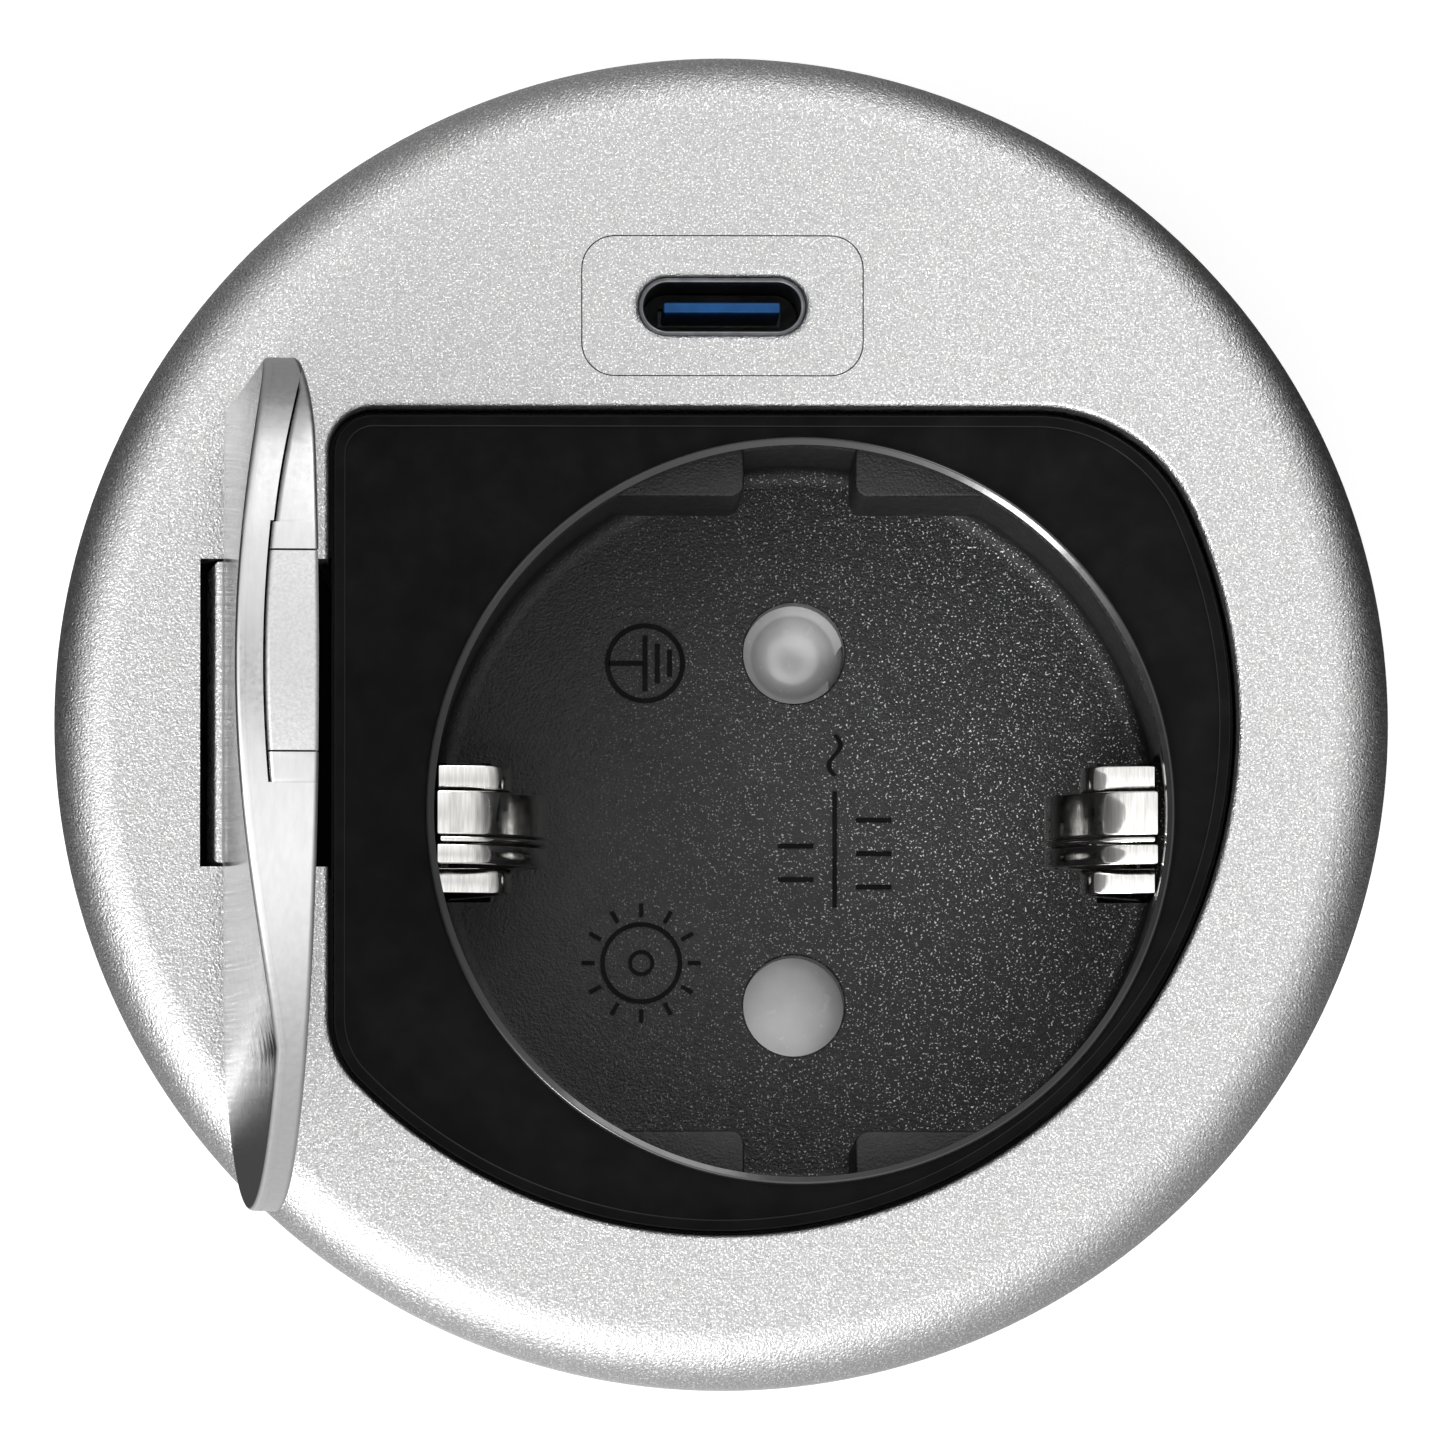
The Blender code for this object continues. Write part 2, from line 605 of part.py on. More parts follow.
def make_carrier(finishes):
    """The insulating block that holds the contacts, the earth lug and their screws."""
    profile = [(0.0, CARRIER_TOP), (CARRIER_R, CARRIER_TOP), (CARRIER_R, CARRIER_END), (0.0, CARRIER_END)]
    carrier = lathe("contact_carrier", profile, finishes["grey"], origin=(WELL_X, WELL_Y, 0.0))
    for side in (1, -1):
        y = WELL_Y + side * PIN_OFFSET
        pocket = prism(f"sleeve_pocket_{side}", circle(WELL_X, y, SLEEVE_R + 0.35, 24), -39.0, -20.0)
        cut(carrier, pocket)
        y0, y1 = sorted((y + side * 2.0, y + side * 8.8))
        block = box_outline(WELL_X - 3.35, WELL_X + 3.35, y0, y1)
        cut(carrier, prism(f"block_pocket_{side}", block, -39.0, -20.0))
    lug_x0, lug_x1 = (WELL_X + x for x in EARTH_LUG)
    lug = box_outline(lug_x0 - 0.4, lug_x1 + 0.4, WELL_Y - 2.9, WELL_Y + 2.9)
    cut(carrier, prism("lug_pocket", lug, -39.0, -20.0))


def make_terminal_screws(finishes):
    """Slotted screws driven up from below into the three terminals."""
    reach = PIN_OFFSET + TERMINAL_OFFSET
    places = (
        ("terminal_screw_live", WELL_X, WELL_Y + reach, SLEEVE_END - GAP),
        ("terminal_screw_neutral", WELL_X, WELL_Y - reach, SLEEVE_END - GAP),
        ("terminal_screw_earth", WELL_X + sum(EARTH_LUG) / 2, WELL_Y, -30.3),
    )
    for name, x, y, top in places:
        screw = prism(name, circle(x, y, SCREW_R, 20), top - 2.2, top, finishes["steel"])
        slot = box_outline(x - 3.0, x + 3.0, y - 0.35, y + 0.35)
        cut(screw, prism(name + "_slot", slot, top - 3.0, top - 1.4))


# ---------------------------------------------------------------- USB charger

def make_usb(finishes):
    width, height = PLATE_SIZE
    plate = prism("usb_face_plate", rounded_rect(0.0, USB_Y, width, height, PLATE_CORNER_R),
                  -1.0, FLANGE_TOP, finishes["silver"])
    foot = rounded_rect(0.0, USB_Y, width + 2.4, height + 0.9, PLATE_CORNER_R)
    join(plate, prism("plate_foot", foot, -2.0, -GAP))
    port = rounded_rect(0.0, USB_Y, *PORT_SIZE, 1.79, steps=8)
    cut(plate, prism("plate_port", port, -3.0, FLANGE_TOP + 1.0))

    shell_outline = rounded_rect(0.0, USB_Y, *SHELL_SIZE, 1.57, steps=7)
    shell = prism("usb_shell", shell_outline, SHELL_END, SHELL_TOP, finishes["steel"])
    mouth = rounded_rect(0.0, USB_Y, *MOUTH_SIZE, 1.27, steps=7)
    cut(shell, prism("shell_mouth", mouth, SHELL_END + 0.6, FLANGE_TOP))
    tongue_y0, tongue_y1 = USB_Y - TONGUE_HALF_THICKNESS, USB_Y + TONGUE_HALF_THICKNESS
    tongue = box_outline(-TONGUE_HALF_WIDTH, TONGUE_HALF_WIDTH, tongue_y0, tongue_y1)
    prism("usb_tongue", tongue, SHELL_END + 0.6 + GAP, TONGUE_TOP, finishes["blue"])

    board_face = box_outline(-BOARD_HALF_WIDTH, BOARD_HALF_WIDTH, -32.0, -2.4)
    board = bar_along_y("usb_board", board_face, BOARD_Y, BOARD_Y + BOARD_THICKNESS, finishes["board"])
    cut(board, bar_along_y("board_notch", box_outline(-10.5, -7.5, -32.5, -29.5), 20.0, 30.0))
    core = box_outline(-8.6, 0.4, 17.4, BOARD_Y - GAP)
    transformer = prism("usb_transformer", core, TRANSFORMER_END, TRANSFORMER_TOP, finishes["rubber"])
    window = box_outline(-9.5, 1.3, 17.0, 18.4)
    cut(transformer, prism("winding_window", window, TRANSFORMER_END + 2.2, TRANSFORMER_TOP - 2.2))
    prism("usb_capacitor", circle(5.2, 20.5, 3.1, 24), -25.5, -13.5, finishes["steel"])
    chip = box_outline(-2.5, 2.5, -12.5, -8.7)
    bar_along_y("usb_controller_chip", chip, BOARD_Y - 1.4, BOARD_Y - GAP, finishes["rubber"])


def make_leads(finishes):
    """Two leads inside the housing, from the mains terminals to the charger board."""
    live = [(6.6, 12.4, -35.6), (6.6, 12.5, -37.6), (7.0, 14.6, -39.5), (7.4, 18.6, -38.6)]
    live += [(6.9, 22.0, -35.0), (6.5, 22.8, -31.5), (6.5, 22.8, -28.5)]
    tube("usb_lead_live", live, LEAD_R, finishes["brown_lead"])
    neutral = [(2.0, -17.0, -35.6), (2.0, -17.0, -37.6), (0.0, -14.5, -39.5), (-8.0, -6.0, -39.6)]
    neutral += [(-11.0, 4.0, -39.6), (-7.0, 13.5, -39.4), (-4.6, 20.4, -37.5), (-3.6, 22.8, -33.0)]
    neutral += [(-3.6, 22.8, -28.5)]
    tube("usb_lead_neutral", neutral, LEAD_R, finishes["blue_lead"])


# ---------------------------------------------------------------- housing and cover

def polar(radius, angle_deg):
    angle = math.radians(angle_deg)
    return radius * math.cos(angle), radius * math.sin(angle)


def ring_sector(inner, outer, middle_deg, width_deg, steps=4):
    start, end = middle_deg - width_deg / 2, middle_deg + width_deg / 2
    return arc(0.0, 0.0, outer, start, end, steps) + arc(0.0, 0.0, inner, end, start, steps)


def make_housing(finishes):
    """The lower casing: a ring under the collar, with snap arms up inside it and screw bosses."""
    top = COLLAR_END - GAP
    inner_r = COLLAR_INNER_R - 0.1
    profile = [(COLLAR_R, top), (COLLAR_R, HOUSING_END), (inner_r, HOUSING_END), (inner_r, top)]
    housing = lathe("housing", profile, finishes["black"])
    for angle in SNAP_ARM_ANGLES:
        arm_plan = ring_sector(26.2, 27.4, angle, 20.0)
        arm = prism(f"snap_arm_{angle:.0f}", arm_plan, HOUSING_END + 4.0, -22.0)
        foot_plan = ring_sector(26.0, 28.2, angle, 23.0)
        foot = prism(f"snap_foot_{angle:.0f}", foot_plan, HOUSING_END + 3.3, top - 2.0)
        join(arm, foot)
        join(housing, arm)
    for angle in COVER_SCREW_ANGLES:
        x, y = polar(COVER_SCREW_RING_R, angle)
        boss = prism(f"boss_{angle:.0f}", circle(x, y, 2.5, 20), HOUSING_END + 0.2, HOUSING_END + 7.0)
        web_plan = ring_sector(25.0, 28.2, angle, 4.0, 1)
        web = prism(f"web_{angle:.0f}", web_plan, HOUSING_END + 0.5, HOUSING_END + 6.5)
        bore = prism(f"boss_bore_{angle:.0f}", circle(x, y, 1.35, 16), HOUSING_END - 1.0, HOUSING_END + 6.0)
        cut(boss, bore)
        cut(web, bore)
        join(boss, web)
        join(housing, boss)


def make_rear_cover(finishes):
    top = HOUSING_END - GAP
    edge = [(COLLAR_R - 0.2, top), (COLLAR_R - 0.2, COVER_END + 1.0), (COLLAR_R - 1.2, COVER_END)]
    cover = lathe("rear_cover", [(0.0, top)] + edge + [(0.0, COVER_END)], finishes["black"])
    cut(cover, prism("inlet_cutter", circle(GLAND_X, GLAND_Y, INLET_R, 28), COVER_END - 1.0, top + 1.0))
    for angle in COVER_SCREW_ANGLES:
        x, y = polar(COVER_SCREW_RING_R, angle)
        cut(cover, prism(f"cover_hole_{angle:.0f}", circle(x, y, 1.6, 16), COVER_END - 1.0, top + 1.0))
        cut(cover, prism(f"cover_sink_{angle:.0f}", circle(x, y, 2.9, 20), COVER_END - 1.0, COVER_END + 1.6))
    # The slots let the air that warms on the charger out.
    for i in range(VENT_COUNT):
        y = -12.0 + VENT_PITCH * i
        slot = rounded_rect(6.0, y, 16.0, 1.6, 0.79)
        cut(cover, prism(f"vent_{i}", slot, COVER_END - 1.0, top + 1.0))


def make_cover_screws(finishes):
    for i, angle in enumerate(COVER_SCREW_ANGLES):
        x, y = polar(COVER_SCREW_RING_R, angle)
        head_top = COVER_END + 1.3
        profile = [
            (0.0, head_top + 7.0), (1.2, head_top + 7.0), (1.2, head_top),
            (2.6, head_top), (2.6, COVER_END + 0.1), (0.0, COVER_END + 0.1),
        ]
        name = f"cover_screw_{i + 1}"
        screw = lathe(name, profile, finishes["steel"], origin=(x, y, 0.0), steps=20)
        for j, (half_x, half_y) in enumerate(((1.5, 0.3), (0.3, 1.5))):
            cross = box_outline(x - half_x, x + half_x, y - half_y, y + half_y)
            cut(screw, prism(f"{name}_cross_{j}", cross, COVER_END - 0.5, COVER_END + 0.9))


def make_gland(finishes):
    """The cable gland in the rear cover: a body, a lock nut inside and a cap nut outside."""
    place = (GLAND_X, GLAND_Y, 0.0)
    top = HOUSING_END - GAP
    body = [
        (GLAND_SLEEVE_R, top + 3.2), (GLAND_SLEEVE_R, COVER_END - GAP), (6.9, COVER_END - GAP),
        (6.9, COVER_END - 2.0), (GLAND_SLEEVE_R, COVER_END - 2.0), (GLAND_SLEEVE_R, COVER_END - 6.0),
        (GLAND_BORE_R, COVER_END - 6.0), (GLAND_BORE_R, top + 3.2),
    ]
    lathe("gland_body", body, finishes["black"], origin=place, steps=32)
    lock = prism("gland_lock_nut", circle(GLAND_X, GLAND_Y, 6.6, 6), top + GAP, top + 2.4, finishes["grey"])
    cut(lock, prism("lock_bore", circle(GLAND_X, GLAND_Y, 5.1, 32), top - 1.0, top + 4.0))
    cap_end = COVER_END - 8.6
    hexagon = circle(GLAND_X, GLAND_Y, 7.4, 6)
    cap = prism("gland_cap_nut", hexagon, cap_end, COVER_END - 2.3, finishes["black"])
    dome = [
        (0.0, COVER_END - 2.0), (6.9, COVER_END - 2.0), (7.5, COVER_END - 3.0),
        (7.5, COVER_END - 6.5), (5.2, cap_end), (0.0, cap_end),
    ]
    combine(cap, lathe("cap_dome", dome, origin=place, steps=32), "INTERSECT")
    bore = [
        (0.0, COVER_END - 1.0), (5.1, COVER_END - 1.0), (5.1, COVER_END - 6.4),
        (GLAND_BORE_R, COVER_END - 7.2), (GLAND_BORE_R, COVER_END - 10.0), (0.0, COVER_END - 10.0),
    ]
    cut(cap, lathe("cap_bore", bore, origin=place, steps=32))


# ---------------------------------------------------------------- clamp under the desk

def make_clamp(finishes):
    lathe("flange_gasket", [(33.7, 0.6), (33.7, 0.0), (31.5, 0.0), (31.5, 0.6)], finishes["rubber"])
    washer = [(CLAMP_OUTER_R, 0.0), (CLAMP_OUTER_R, -WASHER_THICKNESS)]
    washer += [(CLAMP_INNER_R, -WASHER_THICKNESS), (CLAMP_INNER_R, 0.0)]
    lathe("clamp_washer", washer, finishes["steel"], origin=(0.0, 0.0, -DESK_THICKNESS))
    nut_origin = (0.0, 0.0, -DESK_THICKNESS - WASHER_THICKNESS - GAP)
    ring = [(NUT_R, 0.0), (NUT_R, -NUT_HEIGHT), (CLAMP_INNER_R, -NUT_HEIGHT), (CLAMP_INNER_R, 0.0)]
    nut = lathe("ring_nut", ring, finishes["black"], origin=nut_origin)
    for i in range(NUT_LUGS):
        lug = ring_sector(NUT_R - 1.0, NUT_LUG_R, 360.0 * i / NUT_LUGS, 14.0, 2)
        join(nut, prism(f"nut_lug_{i}", lug, -NUT_HEIGHT, -1.6, origin=nut_origin))


def main():
    clear_scene()
    finishes = make_finishes()
    make_bezel(finishes)
    make_lid(finishes)
    make_hinge_pin(finishes)
    make_socket_insert(finishes)
    make_shutter(finishes)
    make_shutter_spring(finishes)
    make_earth(finishes)
    make_contacts(finishes)
    make_carrier(finishes)
    make_terminal_screws(finishes)
    make_usb(finishes)
    make_leads(finishes)
    make_housing(finishes)
    make_rear_cover(finishes)
    make_cover_screws(finishes)
    make_gland(finishes)
    make_clamp(finishes)


main()
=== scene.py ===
"""The looks of the desk grommet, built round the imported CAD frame. Shapes are drawn in millimetres."""

import json
import math

import bmesh
import bpy
from mathutils import Matrix, Vector


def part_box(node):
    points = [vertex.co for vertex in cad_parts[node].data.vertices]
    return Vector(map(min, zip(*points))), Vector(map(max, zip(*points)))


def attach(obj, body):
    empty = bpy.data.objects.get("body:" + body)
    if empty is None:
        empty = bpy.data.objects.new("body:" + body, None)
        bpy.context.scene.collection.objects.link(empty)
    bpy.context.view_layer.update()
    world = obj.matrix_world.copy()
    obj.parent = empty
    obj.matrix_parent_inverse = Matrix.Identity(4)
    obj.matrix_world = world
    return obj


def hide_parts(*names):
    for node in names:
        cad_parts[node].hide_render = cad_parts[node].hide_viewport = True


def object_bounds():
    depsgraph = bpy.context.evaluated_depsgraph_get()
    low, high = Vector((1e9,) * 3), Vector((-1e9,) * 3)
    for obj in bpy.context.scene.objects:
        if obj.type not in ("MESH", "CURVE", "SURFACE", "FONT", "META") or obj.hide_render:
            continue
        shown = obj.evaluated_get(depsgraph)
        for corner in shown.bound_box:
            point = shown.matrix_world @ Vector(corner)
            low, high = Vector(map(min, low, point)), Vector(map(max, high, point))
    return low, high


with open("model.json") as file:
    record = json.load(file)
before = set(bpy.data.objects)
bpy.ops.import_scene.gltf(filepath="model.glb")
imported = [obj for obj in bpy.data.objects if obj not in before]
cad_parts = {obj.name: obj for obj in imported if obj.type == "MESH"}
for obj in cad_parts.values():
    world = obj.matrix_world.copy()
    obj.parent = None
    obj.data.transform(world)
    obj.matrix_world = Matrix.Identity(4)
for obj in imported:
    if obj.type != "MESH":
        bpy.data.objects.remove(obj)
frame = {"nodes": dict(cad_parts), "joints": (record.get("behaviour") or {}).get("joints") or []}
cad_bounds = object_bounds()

MM = 0.001


def in_mm(point):
    return Vector(point) / MM


def node_box(name):
    low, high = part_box(name)
    return in_mm(low), in_mm(high)


def joint_place(name):
    return next(in_mm(j["pos_m"]) for j in frame["joints"] if j["name"] == name)


# Places and sizes that the frame gives, in millimetres.
BEZEL_LOW, BEZEL_HIGH = node_box("bezel")
FLANGE_R = BEZEL_HIGH.x
FLANGE_TOP = BEZEL_HIGH.z
COLLAR_END = BEZEL_LOW.z
HOUSING_LOW, HOUSING_HIGH = node_box("housing")
COVER_LOW, COVER_HIGH = node_box("rear_cover")
WASHER_LOW, WASHER_HIGH = node_box("clamp_washer")
NUT_LOW, NUT_HIGH = node_box("ring_nut")
HINGE = joint_place("lid_hinge")
WELL = joint_place("shutter_turn")
SHUTTER_TOP = node_box("pin_shutter")[1].z
PLATE_LOW, PLATE_HIGH = node_box("usb_face_plate")
SHELL_BOTTOM = node_box("usb_shell")[0].z
TONGUE_LOW, TONGUE_HIGH = node_box("usb_tongue")
CAP_LOW, CAP_HIGH = node_box("gland_cap_nut")
GLAND_LOW, GLAND_HIGH = node_box("gland_body")
USB_Y = (PLATE_LOW.y + PLATE_HIGH.y) / 2
COLLAR_R = HOUSING_HIGH.x
ABOVE = FLANGE_TOP + 1.0
LID_OPEN_DEG = 86.0

# The opening under the lid, as in the CAD model.
FLANGE_EDGE_R = 3.2
OPENING_LEFT = -20.94
OPENING_TOP = 16.69
OPENING_R = 27.4
CORNER_R = 2.4
TOP_FILLET_R = 9.0
LOW_FILLET_R = 5.0
SLOT_LEFT = -27.73
SLOT_LOW_Y = -7.83
SLOT_HIGH_Y = 8.55
GAP = 0.3
POCKET_FLOOR = 2.4
WELL_R = 19.5
LIP_R = 19.95
LIP_RISE = 0.25
LIP_SLOPE_TOP_R = 19.77
LIP_SLOPE = 0.48
WELL_DEPTH = 17.5
WELL_FLOOR = POCKET_FLOOR - WELL_DEPTH
FLOOR_UNDER = WELL_FLOOR - 3.0
INSERT_R = 20.85
INSERT_END = -24.2
MARK_LOW = WELL_FLOOR - 0.2
MARK_HIGH = WELL_FLOOR + 0.09
PIN_OFFSET = 9.5
PIN_HOLE_R = 2.72
PLATE_SIZE = (14.94, 7.44)
PLATE_CORNER_R = 1.75
LID_UNDER = 0.8
LID_LEAN = 0.8
LID_LEAN_REACH = 6.0
LID_FLUSH = FLANGE_TOP - HINGE.z
LID_ARCH = 2.8
LID_ARCH_HALF_WIDTH = 19.5
TIP_START = 11.5
TIP_RISE = 0.5
ARC_SAG = 0.03
LID_END = 19.0
HINGE_SATIN = 2.0
HINGE_SATIN_FADE = 5.0
HINGE_BORE_R = 0.83
KNUCKLE_R = 1.7
KNUCKLE_SWEEP_R = 4.12
FILLER_START = 26.0
FILLER_LOW = -6.2
FILLER_STEP = 7.3
CATCH_LOW = -4.56
CATCH_HIGH = 5.73
SEAM = 0.07
THREAD_PITCH = 3.0
THREAD_RISE = 0.36
THREAD_STEPS = 96


# ---- outlines

def arc(cx, cy, radius, start_deg, end_deg, steps):
    points = []
    for i in range(steps + 1):
        angle = math.radians(start_deg + (end_deg - start_deg) * i / steps)
        points.append((cx + radius * math.cos(angle), cy + radius * math.sin(angle)))
    return points


def circle(cx, cy, radius, steps):
    return arc(cx, cy, radius, 0.0, 360.0 * (steps - 1) / steps, steps - 1)


def rounded_rect(cx, cy, width, height, radius, steps=10):
    x = width / 2 - radius
    y = height / 2 - radius
    points = []
    for sx, sy, start in ((1, 1, 0.0), (-1, 1, 90.0), (-1, -1, 180.0), (1, -1, 270.0)):
        points += arc(cx + sx * x, cy + sy * y, radius, start, start + 90.0, steps)
    return points


def box_outline(x0, x1, y0, y1):
    return [(x0, y0), (x1, y0), (x1, y1), (x0, y1)]


def opening_outline(inset, arc_steps=90):
    """The lid opening's outline, moved inwards by inset, anticlockwise from the arc's low end."""
    left = OPENING_LEFT + inset
    top = OPENING_TOP - inset
    radius = OPENING_R - inset
    corner = CORNER_R - inset
    high = TOP_FILLET_R - inset
    low = LOW_FILLET_R - inset
    high_y = top - high
    high_x = math.sqrt((radius - high) ** 2 - high_y**2)
    low_x = left + low
    low_y = -math.sqrt((radius - low) ** 2 - low_x**2)
    high_angle = math.degrees(math.atan2(high_y, high_x))
    low_angle = math.degrees(math.atan2(low_y, low_x))
    points = arc(0.0, 0.0, radius, low_angle, high_angle, arc_steps)
    points += arc(high_x, high_y, high, high_angle, 90.0, 20)[1:]
    points += line_points((high_x, top), (left + corner, top), 14)
    points += arc(left + corner, top - corner, corner, 90.0, 180.0, 10)
    points += line_points((left, top - corner), (left, low_y), 14)
    points += arc(low_x, low_y, low, 180.0, 360.0 + low_angle, 12)[:-1]
    return points


def line_points(start, end, steps):
    """The points between two ends, both left out."""
    a = Vector(start)
    b = Vector(end)
    return [tuple(a.lerp(b, i / steps)) for i in range(1, steps)]


# ---- solids

def link(name, mesh):
    obj = bpy.data.objects.new(name, mesh)
    bpy.context.scene.collection.objects.link(obj)
    return obj


def from_bmesh(name, bm):
    """A mesh object from a bmesh drawn in millimetres. Its vertices hold its place."""
    bmesh.ops.recalc_face_normals(bm, faces=bm.faces)
    bmesh.ops.scale(bm, vec=(MM, MM, MM), verts=bm.verts)
    mesh = bpy.data.meshes.new(name)
    bm.to_mesh(mesh)
    bm.free()
    return link(name, mesh)


def loft(name, rings, closed=False):
    """A solid skinned over rings of points. Unless the rings close on themselves, both ends are capped."""
    bm = bmesh.new()
    made = [[bm.verts.new(p) for p in ring] for ring in rings]
    pairs = list(zip(made, made[1:]))
    if closed:
        pairs.append((made[-1], made[0]))
    else:
        bm.faces.new(made[0])
        bm.faces.new(made[-1])
    for ring, other in pairs:
        count = len(ring)
        for i in range(count):
            j = (i + 1) % count
            bm.faces.new((ring[i], ring[j], other[j], other[i]))
    return from_bmesh(name, bm)


def prism(name, outline, low, high):
    return loft(name, [[(x, y, z) for x, y in outline] for z in (low, high)])


def turned(name, profile, cx=0.0, cy=0.0, steps=160, closed=False):
    """A (radius, height) profile turned about an upright axis at (cx, cy)."""
    rings = [[(x, y, height) for x, y in circle(cx, cy, radius, steps)] for radius, height in profile]
    return loft(name, rings, closed)


def bar_along_y(name, outline, y0, y1):
    """An (x, z) outline run from y0 to y1."""
    return loft(name, [[(x, y, z) for x, z in outline] for y in (y0, y1)])


def bake_modifiers(obj):
    """Turns the object's modifiers into its mesh."""
    graph = bpy.context.evaluated_depsgraph_get()
    graph.update()
    mesh = bpy.data.meshes.new_from_object(obj.evaluated_get(graph))
    old = obj.data
    obj.modifiers.clear()
    obj.data = mesh
    bpy.data.meshes.remove(old)


def combine(obj, others, operation="DIFFERENCE"):
    """Cuts, joins or intersects obj with helpers, which are then gone."""
    for other in others:
        modifier = obj.modifiers.new("boolean", "BOOLEAN")
        modifier.operation = operation
        modifier.solver = "EXACT"
        modifier.object = other
        bake_modifiers(obj)
        bpy.data.objects.remove(other)
    return obj


def merge(name, parts):
    """One object from several closed shapes that don't meet."""
    bm = bmesh.new()
    for part in parts:
        bm.from_mesh(part.data)
        bpy.data.objects.remove(part)
    mesh = bpy.data.meshes.new(name)
    bm.to_mesh(mesh)
    bm.free()
    return link(name, mesh)


def round_edges(obj, chosen, width, steps=3):
    """Rounds the sharp edges that chosen(start, end) accepts; the two ends are given in millimetres."""
    bm = bmesh.new()
    bm.from_mesh(obj.data)
    bmesh.ops.dissolve_degenerate(bm, dist=1e-7, edges=bm.edges)
    edges = []
    for edge in bm.edges:
        if len(edge.link_faces) != 2 or edge.calc_face_angle() < math.radians(40.0):
            continue
        start, end = (in_mm(v.co) for v in edge.verts)
        if chosen(start, end):
            edges.append(edge)
    bmesh.ops.bevel(bm, geom=edges, offset=width * MM, offset_type="OFFSET", segments=steps, profile=0.5,
                    affect="EDGES", clamp_overlap=True)
    bm.to_mesh(obj.data)
    bm.free()
    return obj


def at_height(z, tolerance=0.02):
    """Chooses edges that lie at one height."""
    return lambda start, end: abs(start.z - z) < tolerance and abs(end.z - z) < tolerance


def shade(obj, angle_deg=32.0):
    """Smooth shading in which the broad flat faces stay flat."""
    obj.data.shade_smooth()
    obj.data.set_sharp_from_angle(angle=math.radians(angle_deg))
    modifier = obj.modifiers.new("weighted_normals", "WEIGHTED_NORMAL")
    modifier.keep_sharp = True
    modifier.weight = 80
    bake_modifiers(obj)
    return obj


def show(obj, body, slot, look, *replaced):
    """Gives a finished piece its look, body and material slot."""
    shade(obj)
    obj.data.materials.clear()
    obj.data.materials.append(LOOKS[look])
    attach(obj, body)
    if replaced:
        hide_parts(*replaced)
    return obj


# ---- materials

def feed(tree, target, value):
    """Gives an input a value, or links another node's output to it."""
    if isinstance(value, bpy.types.NodeSocket):
        tree.links.new(value, target)
    else:
        target.default_value = value


def add_node(tree, kind, inputs=None, **settings):
    node = tree.nodes.new("ShaderNode" + kind)
    for key, value in settings.items():
        setattr(node, key, value)
    for key, value in (inputs or {}).items():
        feed(tree, node.inputs[key], value)
    return node


class Nodes:
    """A small builder for one material's node tree."""

    def __init__(self, name, color, roughness, metallic=0.0, specular=0.5):
        self.material = bpy.data.materials.new(name)
        self.material.use_nodes = True
        self.tree = self.material.node_tree
        self.shader = self.tree.nodes["Principled BSDF"]
        self.color = color
        self.place = self.add("TexCoord").outputs["Object"]
        self.normal = None
        self.finish("Base Color", (*color, 1.0))
        self.finish("Roughness", roughness)
        self.finish("Metallic", metallic)
        self.finish("Specular IOR Level", specular)

    def add(self, kind, inputs=None, **settings):
        return add_node(self.tree, kind, inputs, **settings)

    def finish(self, key, value):
        feed(self.tree, self.shader.inputs[key], value)

    def attribute(self, name):
        return self.add("Attribute", attribute_name=name).outputs["Fac"]

    def stretched(self, scale):
        """The place, stretched along the axes, for a brushed or drawn look."""
        return self.add("Mapping", {"Vector": self.place, "Scale": scale}).outputs["Vector"]

    def noise(self, size_mm, detail=2.0, rough=0.5, place=None):
        """Noise with features of about size_mm."""
        inputs = {"Vector": place or self.place, "Scale": 1.0 / (size_mm * MM), "Detail": detail}
        return self.add("TexNoise", {**inputs, "Roughness": rough}).outputs["Fac"]

    def spread(self, value, low, high, from_low=0.3, from_high=0.7):
        """Maps a noise value onto a range."""
        inputs = {"Value": value, "From Min": from_low, "From Max": from_high, "To Min": low, "To Max": high}
        return self.add("MapRange", inputs).outputs["Result"]

    def vary_color(self, value, dark, light):
        """Base colour between two multiples of the material's own colour."""
        node = self.add("ValToRGB", {"Fac": value})
        for element, position, factor in zip(node.color_ramp.elements, (0.3, 0.7), (dark, light)):
            element.position = position
            element.color = (*[min(1.0, c * factor) for c in self.color], 1.0)
        self.finish("Base Color", node.outputs["Color"])

    def times(self, first, second):
        return self.add("Math", {0: first, 1: second}, operation="MULTIPLY").outputs[0]

    def flecks(self, size_mm, rarity, color, where=None):
        """Small bright metallic specks; a greater rarity leaves fewer of them."""
        mask = self.spread(self.noise(size_mm, detail=1.0), 0.0, 1.0, 0.5 + rarity, 0.56 + rarity)
        if where:
            mask = self.times(mask, where)
        under = self.shader.inputs["Base Color"].links[0].from_socket
        mix = self.add("Mix", {"Factor": mask, "A": under, "B": (*color, 1.0)}, data_type="RGBA")
        self.finish("Base Color", mix.outputs["Result"])
        return mask

    def vary_roughness(self, value, low, high):
        self.finish("Roughness", self.spread(value, low, high))

    def bump(self, value, height_mm, strength=1.0):
        """Adds a relief over the ones before it."""
        inputs = {"Height": value, "Distance": height_mm * MM, "Strength": strength}
        if self.normal:
            inputs["Normal"] = self.normal
        self.normal = self.add("Bump", inputs).outputs["Normal"]
        self.finish("Normal", self.normal)


